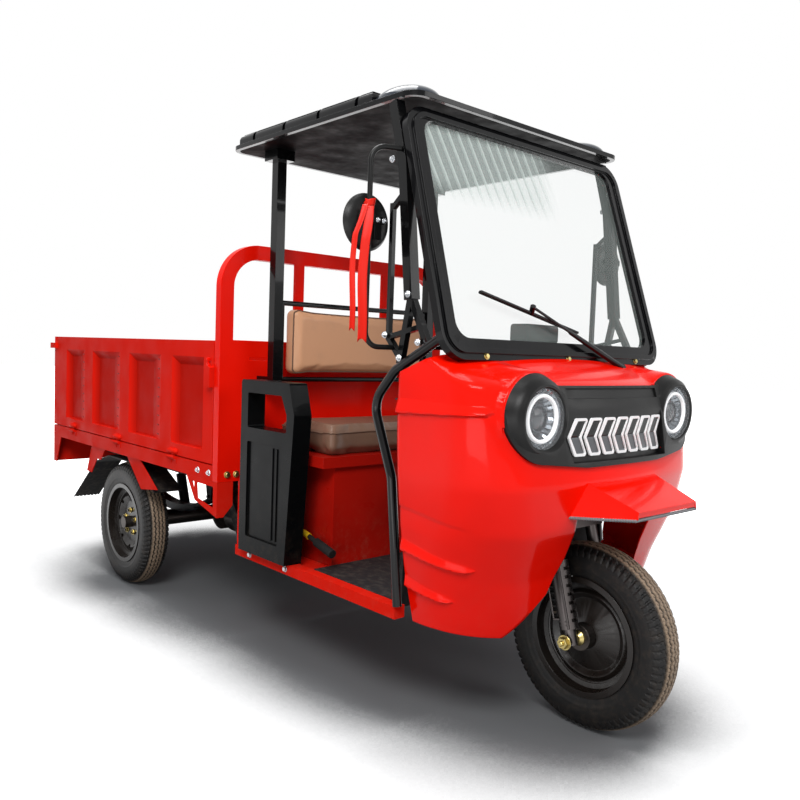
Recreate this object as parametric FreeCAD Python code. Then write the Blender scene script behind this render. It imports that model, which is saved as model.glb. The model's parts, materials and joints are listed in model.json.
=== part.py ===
import FreeCAD, Part
import math
import os

os.makedirs("parts", exist_ok=True)

# Three-wheeled electric cargo carrier with an open-sided cab.
# X runs forward, Y to the driver's left, Z up, in millimetres. Every piece is drawn from
# the rear axle, at floor level, and saved from the middle of the vehicle's length.
# A length that ends in place runs forward from the front axle.

# Stance and wheels
wheelbase = 2022.0
rear_track = 901.0
tyre_radius = 258.0
tyre_width = 113.0
tyre_shoulder_drop = 17.0
tyre_bead_width = 92.0
rim_flange_radius = 166.0
rim_seat_radius = 153.0
rim_well_radius = 132.0
rim_well_width = 36.0
rim_sheet = 4.0
disc_sheet = 6.0
disc_bulge = 12.0
hub_radius = 34.0
hub_half = 44.0
cap_radius = 24.0
cap_length = 16.0
stud_radius = 6.0
stud_length = 14.0
stud_circle = 50.0
stud_count = 5
stud_turn_share = 0.25
vent_count = 8
vent_radius = 10.0
axle_radius = 15.0
running_gap = 0.3
bearing_gap = 0.05
sheet = 3.0
overrun = 50.0
weld = 2.0
wheel_clear = 6.0

# Load bed
bed_overhang = 75.5
bed_rear = -776.0
bed_front = 818.0
rail_bottom = 556.0
rail_top = 610.0
rail_depth = 34.0
rail_sheet = 4.0
gate_top = 1043.0
gate_thickness = 30.0
gate_seat_gap = 5.0
gate_rail_height = 59.0
gate_foot_height = 44.0
gate_stile = 72.0
gate_recess = 22.0
gate_slope_share = 1.4
rib_crest = 92.0
rib_front_flank = 26.0
rib_rear_flank = 110.0
rib_place_shares = [0.045, 0.252, 0.500, 0.743]
hinge_place_shares = [0.168, 0.490, 0.812]
hinge_pin_radius = 4.0
knuckle_radius = 7.0
knuckle_length = 20.0
hinge_leaf_height = 24.0
hinge_pin_share = 1.5
hinge_swing_share = 1.5
floor_sheet = 4.0
cross_rib_width = 40.0
cross_rib_count = 6
tail_bottom = 431.0
tail_depth = 18.0
tail_wing_length = 96.0
tail_wing_foot = 40.0
lamp_width = 120.0
lamp_height = 66.0
lamp_depth = 16.0
lamp_inset = 60.0
latch_width = 40.0
latch_height = 92.0
latch_depth = 16.0
latch_drop = 116.0
hook_length = 44.0
hook_height = 26.0
hook_drop = 30.0

# Headboard behind the cab
hoop_width = 50.0
hoop_depth = 35.0
hoop_top = 1379.0
hoop_corner = 150.0
panel_top = 1045.0
panel_sheet = 4.0
skirt_gap = 23.0
slat_width = 40.0
slat_offset = 207.0
slat_depth = 12.0
slot_length = 98.0
slot_height = 9.0
slot_edge = 64.0
slot_drop = 66.0
cage_bottom = 433.0
cage_rear_reach = 225.0
cage_heel_reach = 159.0
cage_heel_drop = 84.0
cage_bar = 18.0
cage_front_width = 62.0
cage_foot_width = 26.0
cage_sheet = 5.0
cage_rim_share = 1.5
cage_foot_share = 1.6
cage_slot_share = 2.2

# Chassis
main_rail_offset = 250.0
main_rail_width = 44.0
main_rail_height = 60.0
low_rail_bottom = 270.0
high_rail_bottom = 462.0
kick_rear = 430.0
kick_front = 570.0
low_rail_front_place = -332.0
rail_tail_inset = 30.0
cross_tube_radius = 20.0
rake_degrees = 15.0
fork_trail_offset = 30.0
head_tube_radius = 30.0
head_tube_low = 345.0
head_tube_high = 545.0
stem_radius = 19.0
neck_radius = 22.0
neck_spread = 70.0

# Rear axle, springs and battery
axle_tube_radius = 34.0
drum_radius = 86.0
drum_width = 50.0
backing_sheet = 6.0
differential_radius = 84.0
differential_length = 130.0
motor_radius = 78.0
motor_length = 170.0
nose_place_share = 0.6
nose_radius_share = 1.3
stub_inset_share = 1.5
spring_half_length = 350.0
spring_width = 50.0
spring_leaf = 8.0
spring_leaf_count = 4
spring_camber = 80.0
spring_step_share = 0.2
eye_radius = 14.0
hanger_width = 8.0
shock_radius = 22.0
shock_rod_radius = 9.0
shock_side = 190.0
shock_body_share = 0.55
shock_offset = 96.0
shock_foot_rise = 30.0
battery_rear = 300.0
battery_front = 700.0
battery_half_width = 200.0

# Mudguards
guard_sheet = 5.0
guard_half_width = 60.0
guard_clear = 12.0
guard_crown_share = 0.5
flap_reach = 541.0
flap_bottom = 282.0
flap_shoulder = 276.0
flap_shoulder_drop = 44.0
flap_notch = 9.0
flap_notch_count = 7
guard_front_reach = 330.0
guard_front_drop = 92.0
guard_bend = 60.0
bracket_sheet = 4.0
bracket_reach = 36.0
rear_bracket_shares = [(1.0, 0.0), (0.5, 0.0), (0.66, 1.2), (0.8, 1.2), (1.0, 2.8), (1.18, 2.75)]
front_bracket_top_shares = [0.56, 1.54]
front_bracket_foot_shares = [(1.1, 1.1), (0.66, 1.3)]

# Cab floor and seat
sill_top = 346.0
sill_height = 34.0
sill_half_width = 477.0
sill_width = 36.0
sill_rear = 900.0
sill_front_place = -293.0
floor_front_place = -316.0
mat_thickness = 6.0
mat_inset = 14.0
seat_box_rear = 908.0
seat_box_front = 1290.0
seat_box_half_width = 356.0
lid_top = 689.0
lid_height = 34.0
lid_half_width = 410.0
lid_front = 1303.0
lid_rear = 905.0
lid_hinge_radius = 6.0
lid_hinge_length = 60.0
lid_hinge_side = 240.0
cushion_height = 98.0
cushion_rear = 972.0
cushion_inset = 8.0
cushion_round = 24.0
back_bottom = 926.0
back_top = 1172.0
back_front = 980.0
back_thickness = 82.0
back_round = 26.0
back_tube = 9.0
post_size = 35.0
post_front = 956.0
post_outer = 379.0
post_foot = 890.0
post_plate_length = 78.0
post_plate_height = 34.0

# Side guards beside the seat
arm_guard_outer = 500.0
arm_guard_depth = 66.0
arm_guard_rear = 958.0
arm_guard_front = 1232.0
arm_guard_kink_front = 1268.0
arm_guard_kink = 818.0
arm_guard_top_front = 1238.0
arm_guard_top = 918.0
arm_guard_frame = 42.0
arm_guard_window = 762.0
arm_guard_recess = 8.0
arm_guard_panel_foot = 400.0
arm_guard_panel_head = 716.0

# Front cowl, as plan sections from the bottom to the top
cowl_wall = 5.0
cowl_bottom = 292.0
cowl_top = 1048.0
cowl_nose_place = 85.0
cowl_half_width = 492.0
cowl_corner = 225.0
cowl_front_bow = 2000.0
cowl_rear_place = -300.0
cowl_rear_rake = 30.0
cowl_level_shares = [0.0, 0.209, 0.381, 0.540, 0.646, 0.770, 0.877, 0.910, 0.943, 1.0]
cowl_depth_shares = [0.7209, 0.8249, 0.9562, 1.0, 0.9726, 0.9343, 0.8660, 0.7263, 0.5677, 0.3214]
cowl_half_shares = [0.869, 0.940, 0.975, 0.995, 1.0, 1.0, 0.992, 0.985, 0.975, 0.950]
cowl_corner_shares = [1.0, 0.98, 0.87, 0.74, 0.66, 0.55, 0.48, 0.43, 0.39, 0.34]
hem_rear_rise = 14.0
hem_mid_place = -192.0
hem_mid_rise = 11.0
hem_front_place = -37.0
crest_front_place = -146.0
crest_height = 1039.0
crest_rear_height = 973.0
scuttle_front_place = -32.0
scuttle_height = 1000.0
arch_half_low = 308.0
arch_half_mid = 204.0
arch_half_high = 180.0
arch_mid_height = 455.0
arch_top = 664.0
arch_rear_place = -260.0
rib_height = 38.0
rib_proud = 6.0
rib_levels = {"high": 889.0, "mid": 486.0, "low": 393.0}
rib_front_places = {"high": -2.0, "mid": -69.0, "low": -136.0}
rib_slopes = {"high": -4.0, "mid": 39.0, "low": 34.0}
rib_rear_inset = 8.0

# Grille panel, lamps and chevrons
grille_proud = 9.0
grille_start_place = -122.0
grille_waist = 955.0
panel_low = 748.0
panel_low_half = 168.0
lobe_radius = 112.0
lamp_side = 314.0
lamp_level = 874.0
lamp_radius = 76.0
lamp_face_place = 52.0
lamp_length = 60.0
bowl_waist_share = 0.6
bezel_radius = 104.0
bezel_length = 44.0
bezel_shoulder = 99.0
bezel_shoulder_depth = 10.0
bezel_lip = 9.0
bezel_proud = 3.0
housing_depth = 38.0
housing_length = 130.0
swell_radius = 117.0
swell_rear_radius = 126.0
swell_length = 150.0
ring_outer = 62.0
ring_inner = 52.0
ring_depth = 5.0
lens_sheet = 4.0
bar_bottom = 922.0
bar_top = 948.0
bar_half = 213.0
bar_recess = 6.0
pocket_face_place = 64.0
pocket_half = 218.0
pocket_tip = 246.0
pocket_bottom = 761.0
pocket_top = 891.0
pocket_wall = 4.0
chevron_count = 7
chevron_first = -186.0
chevron_pitch = 60.0
chevron_low = 775.0
chevron_high = 873.0
chevron_width = 48.0
chevron_sweep = 25.0
chevron_line = 7.0
chevron_proud = 5.0

# Visor over the front wheel
visor_sheet = 5.0
visor_back_place = 48.0
visor_back_half = 164.0
visor_back_height = 719.0
visor_back_low_half = 215.0
visor_back_drop = 96.0
visor_front_place = 216.0
visor_front_half = 141.0
visor_front_height = 653.0
visor_lip = 18.0

# Windscreen and wiper
screen_foot_place = -115.0
screen_foot_height = 1012.0
screen_lean_degrees = 17.2
screen_length = 694.0
screen_half_low = 499.0
screen_half_high = 482.0
screen_corner = 74.0
screen_border = 58.0
screen_border_top = 34.0
screen_hole_share = 0.6
screen_frame_depth = 22.0
screen_bead_inset = 17.0
screen_bead_width = 14.0
screen_bead_proud = 7.0
glass_thickness = 5.0
wiper_pivot_side = 235.0
wiper_pivot_height = -18.0
wiper_joint_side = -151.0
wiper_joint_height = 150.0
wiper_tip_side = -335.0
wiper_tip_height = 182.0
wiper_heel_side = 54.0
wiper_heel_height = 88.0
wiper_radius = 4.0
wiper_stand = 16.0
wiper_cap_radius = 14.0

# Roof and its lamps
roof_rear = 800.0
roof_front_place = -290.0
roof_half_width = 474.0
roof_level = 1692.0
roof_lip = 14.0
roof_sheet = 5.0
roof_corner = 50.0
lining_sheet = 3.0
deck_inset = 16.0
deck_height = 42.0
deck_rear_inset = 36.0
deck_front_inset = 190.0
deck_corner = 24.0
deck_groove_width = 14.0
deck_groove_shares = [0.12, 0.37, 0.63, 0.89]
blister_place = -416.0
blister_side = 385.0
blister_half_length = 108.0
blister_half_width = 80.0
blister_height = 46.0

# Front pillars, grab tubes and mirrors
pillar_outer = 466.0
pillar_size = 30.0
pillar_place = -280.0
pillar_head_place = -367.0
pillar_neck_place = -322.0
pillar_neck_height = 1530.0
pillar_split = 1170.0
pillar_foot_rear_place = -316.0
pillar_foot_low = 994.0
pillar_foot_front_place = -210.0
pillar_foot_height = 1040.0
leg_size = 18.0
stay_size = 13.0
stay_place = -366.0
stay_foot_height = 1064.0
stay_foot_front_place = -230.0
stay_head_height = 1420.0
grab_radius = 13.0
grab_bend = 70.0
grab_side = 470.0
grab_top_place = -164.0
grab_top_height = 1064.0
grab_knee_place = -332.0
grab_knee_height = 976.0
grab_back_place = -416.0
grab_back_height = 886.0
grab_waist_place = -332.0
grab_waist_height = 690.0
grab_foot_place = -291.0
mirror_radius = 75.0
mirror_depth = 26.0
mirror_rim = 4.0
mirror_back_shares = [(0.0, 0.5), (0.45, 0.88)]
mirror_level = 1360.0
mirror_side = 548.0
arm_radius = 7.0
arm_side = 560.0
arm_place = -352.0
arm_high = 1553.0
arm_low = 1037.0
arm_bend = 40.0
arm_tilt_share = 0.4

# Steering, fork and bars, along the raked steering line
fork_half_spread = 88.0
leg_radius = 17.0
leg_length = 300.0
leg_foot = 20.0
cover_radius = 26.0
cover_low = 24.0
cover_high = 210.0
cover_slot = 9.0
cover_slot_count = 7
crown_low = 286.0
crown_height = 26.0
crown_half_depth = 30.0
bar_level = 800.0
bar_radius = 11.0
grip_reach = 300.0
bar_back = 112.0
bar_rise = 20.0
bar_bend = 50.0
clamp_rise_share = 1.5
grip_length = 118.0
grip_radius = 16.0
front_axle_radius = 9.0
nut_radius = 14.0
nut_length = 16.0
front_hub_radius = 36.0
front_hub_half = 56.0
front_drum_radius = 76.0
front_cone_radius = 100.0
front_cone_depth = 26.0

# Firewall, dash and controls
firewall_sheet = 4.0
firewall_place = -310.0
dash_level = 900.0
dash_front_place = -32.0
column_slot_half = 50.0
column_slot_rear_place = -262.0
column_slot_front_place = -142.0
pod_width = 150.0
pod_height = 54.0
pod_depth = 70.0
pod_round = 10.0
hand_lever_x = 1100.0
hand_lever_height = 452.0
hand_lever_side = 392.0
hand_lever_tip = 1340.0
hand_lever_tip_height = 392.0
hand_lever_radius = 8.0
hand_grip_radius = 14.0
hand_grip_length = 90.0
hand_base_length = 70.0
hand_base_width = 34.0
pedal_width = 70.0
pedal_height = 80.0
pedal_sheet = 8.0
pedal_side = -250.0
pedal_place = -382.0
pedal_rise = 100.0
pedal_seat_share = 0.65

# Worked out from the sizes above
rear_reach = bed_rear - latch_depth
front_reach = wheelbase + tyre_radius
mid_length = (front_reach + rear_reach) / 2
rake = math.radians(rake_degrees)
screen_lean = math.radians(screen_lean_degrees)
wheel_side = rear_track / 2
bed_half_width = wheel_side + bed_overhang
gate_bottom = rail_top + gate_seat_gap
headboard_front = bed_front + hoop_depth
hinge_side = bed_half_width + knuckle_radius + running_gap
hinge_level = rail_top - knuckle_radius / 2
low_rail_top = low_rail_bottom + main_rail_height
high_rail_top = high_rail_bottom + main_rail_height
floor_top = sill_top - mat_thickness - gate_seat_gap
roof_top = roof_level + roof_lip

# The front of the cab goes with the front axle
low_rail_front = wheelbase + low_rail_front_place
sill_front = wheelbase + sill_front_place
floor_front = wheelbase + floor_front_place
cowl_nose = wheelbase + cowl_nose_place
cowl_rear = wheelbase + cowl_rear_place
hem_mid = wheelbase + hem_mid_place
hem_front = wheelbase + hem_front_place
crest_front = wheelbase + crest_front_place
scuttle_front = wheelbase + scuttle_front_place
arch_rear = wheelbase + arch_rear_place
grille_start = wheelbase + grille_start_place
lamp_face = wheelbase + lamp_face_place
pocket_face = wheelbase + pocket_face_place
visor_back = wheelbase + visor_back_place
visor_front = wheelbase + visor_front_place
screen_foot = wheelbase + screen_foot_place
roof_front = wheelbase + roof_front_place
blister_x = wheelbase + blister_place
pillar_x = wheelbase + pillar_place
pillar_head_x = wheelbase + pillar_head_place
pillar_neck_x = wheelbase + pillar_neck_place
pillar_foot_rear = wheelbase + pillar_foot_rear_place
pillar_foot_front = wheelbase + pillar_foot_front_place
stay_x = wheelbase + stay_place
stay_foot_front = wheelbase + stay_foot_front_place
grab_top = wheelbase + grab_top_place
grab_knee = wheelbase + grab_knee_place
grab_back = wheelbase + grab_back_place
grab_waist = wheelbase + grab_waist_place
grab_foot = wheelbase + grab_foot_place
arm_x = wheelbase + arm_place
firewall_x = wheelbase + firewall_place
dash_front = wheelbase + dash_front_place
column_slot_rear = wheelbase + column_slot_rear_place
column_slot_front = wheelbase + column_slot_front_place
pedal_x = wheelbase + pedal_place

along_x = FreeCAD.Vector(1, 0, 0)
along_y = FreeCAD.Vector(0, 1, 0)
along_z = FreeCAD.Vector(0, 0, 1)


def vec(x, y, z):
    return FreeCAD.Vector(x, y, z)


def box(x, y, z):
    low = vec(min(x), min(y), min(z))
    return Part.makeBox(max(x) - low.x, max(y) - low.y, max(z) - low.z, low)


def rod(start, end, radius):
    along = end - start
    return Part.makeCylinder(radius, along.Length, start, along)


def pipe(start, end, radius, bore):
    reach = (end - start).normalize() * overrun
    return rod(start, end, radius).cut(rod(start - reach, end + reach, bore))


def turned(profile, centre, axis, radial):
    points = [centre + axis * along + radial * radius for along, radius in profile]
    face = Part.Face(Part.makePolygon(points + points[:1]))
    return face.revolve(centre, axis, 360)


def rounded(points, radii, closed=True):
    legs = []
    last = len(points) - 1
    for index, corner in enumerate(points):
        radius = radii[index] if isinstance(radii, list) else radii
        if not closed and index in (0, last):
            radius = 0
        back = (points[index - 1] - corner).normalize()
        ahead = (points[(index + 1) % len(points)] - corner).normalize()
        half = (math.pi - back.getAngle(ahead)) / 2
        if radius == 0 or half < math.radians(1):
            legs.append([corner, None, corner])
            continue
        reach = radius * math.tan(half)
        inward = (back + ahead).normalize()
        middle = corner + inward * (radius / math.cos(half) - radius)
        legs.append([corner + back * reach, middle, corner + ahead * reach])
    edges = []
    for index, leg in enumerate(legs):
        if leg[1] is not None:
            edges.append(Part.Arc(leg[0], leg[1], leg[2]).toShape())
        if index == last and not closed:
            break
        following = legs[(index + 1) % len(legs)][0]
        if not following.isEqual(leg[2], bearing_gap / 100):
            edges.append(Part.makeLine(leg[2], following))
    return Part.Wire(edges)


def slab(points, push, radii=0):
    return Part.Face(rounded(points, radii)).extrude(push)


def upright(points, y, width, radii=0):
    """a plate drawn from the side: points are (x, z)"""
    return slab([vec(x, y, z) for x, z in points], vec(0, width, 0), radii)


def facing(points, x, depth, radii=0):
    """a plate drawn from the front: points are (y, z)"""
    return slab([vec(x, y, z) for y, z in points], vec(depth, 0, 0), radii)


def tube(points, bends, radius):
    ahead = (points[1] - points[0]).normalize()
    ring = Part.Wire(Part.makeCircle(radius, points[0], ahead))
    return rounded(points, bends, False).makePipeShell([ring], True, False)


def strip(points, bends, across, width, thickness):
    ahead = (points[1] - points[0]).normalize()
    side = across * (width / 2)
    up = across.cross(ahead).normalize() * (thickness / 2)
    start = points[0]
    ring = [start - side - up, start + side - up, start + side + up, start - side + up]
    path = rounded(points, bends, False)
    return path.makePipeShell([Part.makePolygon(ring + ring[:1])], True, False)


def strut(start, end, width, depth, side):
    along = end - start
    across = side * (width / 2)
    up = side.cross(along).normalize() * (depth / 2)
    corners = [start - across - up, start + across - up, start + across + up, start - across + up]
    return slab(corners, along)


def flip(shape):
    return shape.mirror(vec(0, 0, 0), along_y)


def joined(shapes):
    return shapes[0].multiFuse(shapes[1:]).removeSplitter()


def group(shapes):
    return Part.makeCompound(shapes)


def twins(shape):
    return group([shape, flip(shape)])


def steer_point(along, side=0, ahead=0):
    """a point on the raked steering line, measured from axle height"""
    foot_x = wheelbase - fork_trail_offset + ahead * math.cos(rake)
    foot_z = tyre_radius + ahead * math.sin(rake)
    return vec(foot_x - along * math.sin(rake), side, foot_z + along * math.cos(rake))


def screen_point(side, height, proud=0):
    up_x, up_z = -math.sin(screen_lean), math.cos(screen_lean)
    x = screen_foot + height * up_x + proud * math.cos(screen_lean)
    z = screen_foot_height + height * up_z + proud * math.sin(screen_lean)
    return vec(x, side, z)


steer_up = (steer_point(head_tube_low) - steer_point(0)).normalize()
steer_ahead = vec(math.cos(rake), 0, math.sin(rake))
screen_out = vec(math.cos(screen_lean), 0, math.sin(screen_lean))


def save(name, shape):
    moved = shape.copy()
    moved.translate(vec(-mid_length, 0, 0))
    solids = moved.Solids
    if not moved.isValid() or not solids:
        print("not valid:", name)
    group(solids).exportStep("parts/" + name + ".step")
    print(name, len(solids), round(sum(solid.Volume for solid in solids) / 1000), "cm3")


# Wheels
def make_tyre(x, side):
    half = tyre_width / 2
    bead = tyre_bead_width / 2
    tread = half - tyre_shoulder_drop / 2
    shoulder = tyre_radius - tyre_shoulder_drop
    flange = rim_flange_radius + running_gap

    def place(along, radius):
        return vec(x, side + along, tyre_radius + radius)

    wall = (flange + shoulder) / 2
    seat = rim_seat_radius + running_gap
    edges = [
        Part.makeLine(place(-bead, seat), place(-bead, flange)),
        Part.Arc(place(-bead, flange), place(-half, wall), place(-tread, shoulder)).toShape(),
        Part.Arc(place(-tread, shoulder), place(0, tyre_radius), place(tread, shoulder)).toShape(),
        Part.Arc(place(tread, shoulder), place(half, wall), place(bead, flange)).toShape(),
        Part.makeLine(place(bead, flange), place(bead, seat)),
        Part.makeLine(place(bead, seat), place(-bead, seat)),
    ]
    return Part.Face(Part.Wire(edges)).revolve(vec(x, side, tyre_radius), along_y, 360)


def make_rim(x, side, outward, cone_radius, cone_depth, bore, vents):
    centre = vec(x, side, tyre_radius)
    axis = along_y * outward
    bead = tyre_bead_width / 2 + running_gap
    well = rim_well_width / 2
    outer = [(bead + rim_sheet, rim_flange_radius), (bead, rim_flange_radius), (bead, rim_seat_radius),
             (well + rim_sheet, rim_seat_radius - rim_sheet), (well, rim_well_radius)]
    inner = [(well - rim_sheet, rim_well_radius - rim_sheet),
             (well, rim_seat_radius - rim_sheet * 2), (bead + rim_sheet, rim_seat_radius - rim_sheet)]
    ring = outer + [(-along, radius) for along, radius in reversed(outer)]
    ring += [(-along, radius) for along, radius in reversed(inner)] + inner
    rim = turned(ring, centre, axis, along_z)
    low = disc_sheet
    rise = low + disc_bulge
    disc = [(low, rim_well_radius - rim_sheet / 2), (rise, (rim_well_radius + cone_radius) / 2),
            (low, cone_radius), (cone_depth, hub_radius + stud_radius), (cone_depth, bore),
            (cone_depth - disc_sheet, bore), (cone_depth - disc_sheet, hub_radius + stud_radius),
            (0, cone_radius), (rise - disc_sheet, (rim_well_radius + cone_radius) / 2),
            (0, rim_well_radius - rim_sheet / 2)]
    disc = turned(disc, centre, axis, along_z)
    holes = []
    vent_circle = (rim_well_radius + cone_radius) / 2
    for index in range(vents):
        angle = math.tau * index / vents
        at = centre + vec(math.cos(angle), 0, math.sin(angle)) * vent_circle
        holes.append(rod(at - axis * overrun, at + axis * overrun, vent_radius))
    if holes:
        disc = disc.cut(holes)
    return joined([rim, disc])


def make_rear_hub(side, outward):
    centre = vec(0, side, tyre_radius)
    axis = along_y * outward
    seat = disc_sheet * 2 + running_gap
    drum_face = disc_sheet - running_gap
    bore = axle_radius + bearing_gap
    profile = [(drum_face, bore), (drum_face, drum_radius), (-drum_width, drum_radius),
               (-drum_width, drum_radius - disc_sheet), (-disc_sheet, drum_radius - disc_sheet),
               (-disc_sheet, hub_radius), (-drum_width, hub_radius), (-drum_width, bore)]
    pieces = [turned(profile, centre, axis, along_z)]
    pieces.append(pipe(centre, centre + axis * (hub_half - cap_length), cap_radius, bore))
    cap = centre + axis * (hub_half - cap_length)
    pieces.append(rod(cap, cap + axis * cap_length, cap_radius))
    for index in range(stud_count):
        angle = math.tau * (index + stud_turn_share) / stud_count
        at = centre + vec(math.cos(angle), 0, math.sin(angle)) * stud_circle
        pieces.append(rod(at + axis * drum_face, at + axis * (seat + stud_length), stud_radius))
    return joined(pieces)


def make_wheels():
    for name, outward in (("right", -1), ("left", 1)):
        side = wheel_side * outward
        save("rear_tyre_" + name, make_tyre(0, side))
        bore = cap_radius + running_gap
        rim = make_rim(0, side, outward, drum_radius, disc_sheet * 2, bore, vent_count)
        hub = make_rear_hub(side, outward)
        save("rear_rim_" + name, rim.cut(hub))
        save("rear_hub_" + name, hub)
    save("front_tyre", make_tyre(wheelbase, 0))
    bore = front_hub_radius + running_gap
    rim = make_rim(wheelbase, 0, -1, front_cone_radius, front_cone_depth, bore, 0)
    centre = vec(wheelbase, 0, tyre_radius)
    bore = front_axle_radius + bearing_gap
    reach = along_y * front_hub_half
    hub = pipe(centre - reach, centre + reach, front_hub_radius, bore)
    drum = pipe(centre + along_y * running_gap, centre + along_y * (front_hub_half - disc_sheet),
                front_drum_radius, bore)
    save("front_rim", rim)
    save("front_hub", joined([hub, drum]))


# Fork, steering column and bars
def make_fork():
    pieces = []
    legs = []
    for outward in (-1, 1):
        side = fork_half_spread * outward
        ahead = fork_trail_offset * math.cos(rake)
        foot = steer_point(-leg_foot, side, ahead)
        legs.append(rod(foot, steer_point(leg_length, side, ahead), leg_radius))
        low = steer_point(cover_low, side, ahead)
        cover = pipe(low, steer_point(cover_high, side, ahead), cover_radius, leg_radius - running_gap)
        pitch = (cover_high - cover_low) / (cover_slot_count + 1)
        slots = []
        for index in range(cover_slot_count):
            at = steer_point(cover_low + pitch * (index + 1), side, ahead)
            start = at - steer_ahead * cover_radius * 2
            end = at + steer_ahead * cover_radius * 2
            slots.append(strut(start, end, cover_slot, cover_radius, steer_up))
        pieces.append(cover.cut(slots))
    crown_low_point = steer_point(crown_low)
    half = fork_half_spread + leg_radius + cover_slot
    rear = steer_ahead * -crown_half_depth
    front = steer_ahead * (crown_half_depth + fork_trail_offset)
    corners = [crown_low_point + rear - along_y * half, crown_low_point + rear + along_y * half,
               crown_low_point + front + along_y * half, crown_low_point + front - along_y * half]
    crown = slab(corners, steer_up * crown_height, crown_half_depth / 2)
    stem = rod(steer_point(crown_low), steer_point(bar_level), stem_radius)
    axle = rod(vec(wheelbase, -fork_half_spread - leg_radius * 2, tyre_radius),
               vec(wheelbase, fork_half_spread + leg_radius * 2, tyre_radius), front_axle_radius)
    start = vec(wheelbase, fork_half_spread + leg_radius - weld, tyre_radius)
    nut = rod(start, start + along_y * nut_length, nut_radius)
    save("fork", joined(legs + pieces + [crown, stem, axle, nut, flip(nut)]))


def make_handlebar():
    middle = steer_point(bar_level)
    rear = vec(middle.x - bar_back, 0, middle.z + bar_rise)
    half = grip_reach
    points = [vec(rear.x, -half, rear.z), vec(rear.x + grip_length, -half / 2, rear.z),
              vec(middle.x, -bar_bend, middle.z + bar_rise), vec(middle.x, bar_bend, middle.z + bar_rise),
              vec(rear.x + grip_length, half / 2, rear.z), vec(rear.x, half, rear.z)]
    bar = tube(points, bar_bend, bar_radius)
    clamp_top = middle + steer_up * (bar_rise * clamp_rise_share)
    clamp = rod(middle - steer_up * bar_rise, clamp_top, stem_radius + bar_radius / 2)
    socket = rod(steer_point(crown_low), middle, stem_radius + running_gap)
    grips = [joined([bar, clamp.cut(socket)])]
    for first, second in ((0, 1), (5, 4)):
        ahead = (points[second] - points[first]).normalize()
        start = points[first] - ahead * bar_radius
        grips.append(pipe(start, start + ahead * grip_length, grip_radius, bar_radius + running_gap))
    save("handlebar", group(grips))


# Chassis, springs and rear axle
def neck_tubes(grow):
    tubes = []
    for outward in (-1, 1):
        side = neck_spread * outward
        foot = vec(low_rail_front - cross_tube_radius, side, low_rail_bottom + cross_tube_radius)
        knee = vec(low_rail_front, side, low_rail_top + main_rail_height)
        top = steer_point((head_tube_low + head_tube_high) / 2)
        tubes.append(tube([foot, knee, top], neck_radius * 2, neck_radius + grow))
    return tubes


def make_chassis():
    tail = bed_rear + rail_tail_inset
    rise = main_rail_height / 4
    outline = [(tail, high_rail_bottom), (kick_rear, high_rail_bottom), (kick_front, low_rail_bottom),
               (low_rail_front, low_rail_bottom), (low_rail_front, low_rail_top),
               (kick_front + rise, low_rail_top), (kick_rear + rise, high_rail_top), (tail, high_rail_top)]
    inner = main_rail_offset - main_rail_width / 2
    pieces = []
    for y in (inner, -inner - main_rail_width):
        pieces.append(upright(outline, y, main_rail_width))
    for x, z in ((tail + cross_tube_radius, high_rail_bottom + cross_tube_radius),
                 (kick_rear - main_rail_height, high_rail_bottom + cross_tube_radius * 2),
                 (kick_front + main_rail_height, low_rail_bottom + cross_tube_radius),
                 ((sill_rear + sill_front) / 2, low_rail_bottom + cross_tube_radius),
                 (low_rail_front - cross_tube_radius, low_rail_bottom + cross_tube_radius)):
        reach = inner + running_gap
        pieces.append(rod(vec(x, -reach, z), vec(x, reach, z), cross_tube_radius))
    head = pipe(steer_point(head_tube_low), steer_point(head_tube_high), head_tube_radius,
                stem_radius + bearing_gap)
    bore = rod(steer_point(crown_low), steer_point(bar_level), stem_radius + bearing_gap)
    for neck in neck_tubes(0):
        pieces.append(neck.cut(bore))
    save("chassis_frame", joined(pieces + [head]))


def make_springs():
    packs = []
    base = tyre_radius + axle_tube_radius + running_gap
    for leaf in range(spring_leaf_count):
        reach = spring_half_length * (1 - spring_step_share * (spring_leaf_count - 1 - leaf))
        lift = spring_camber * (reach / spring_half_length) ** 2
        low = base + spring_leaf * leaf
        under = Part.Arc(vec(-reach, 0, low + lift), vec(0, 0, low), vec(reach, 0, low + lift)).toShape()
        over = Part.Arc(vec(reach, 0, low + lift + spring_leaf), vec(0, 0, low + spring_leaf),
                        vec(-reach, 0, low + lift + spring_leaf)).toShape()
        ends = [Part.makeLine(vec(reach, 0, low + lift), vec(reach, 0, low + lift + spring_leaf)),
                Part.makeLine(vec(-reach, 0, low + lift + spring_leaf), vec(-reach, 0, low + lift))]
        face = Part.Face(Part.Wire([under, ends[0], over, ends[1]]))
        packs.append(face.extrude(vec(0, spring_width, 0)))
    eye_level = base + spring_leaf * spring_leaf_count + spring_camber
    for x in (-spring_half_length, spring_half_length):
        packs.append(rod(vec(x, 0, eye_level), vec(x, spring_width, eye_level), eye_radius))
        foot, top = eye_level - eye_radius, high_rail_bottom - weld
        plate = [(x - eye_radius, foot), (x + eye_radius, foot), (x + eye_radius * 2, top),
                 (x - eye_radius * 2, top)]
        for y in (-hanger_width - running_gap, spring_width + running_gap):
            packs.append(upright(plate, y, hanger_width))
        pin = hanger_width * 2
        packs.append(rod(vec(x, -pin, eye_level), vec(x, spring_width + pin, eye_level), eye_radius / 2))
        packs.append(box((x - eye_radius * 2, x + eye_radius * 2),
                         (-hanger_width - running_gap, spring_width + hanger_width + running_gap),
                         (high_rail_bottom - hanger_width, high_rail_bottom - running_gap)))
    pack = joined(packs)
    pack.translate(vec(0, main_rail_offset - spring_width / 2, 0))
    save("leaf_springs", twins(pack))


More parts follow.
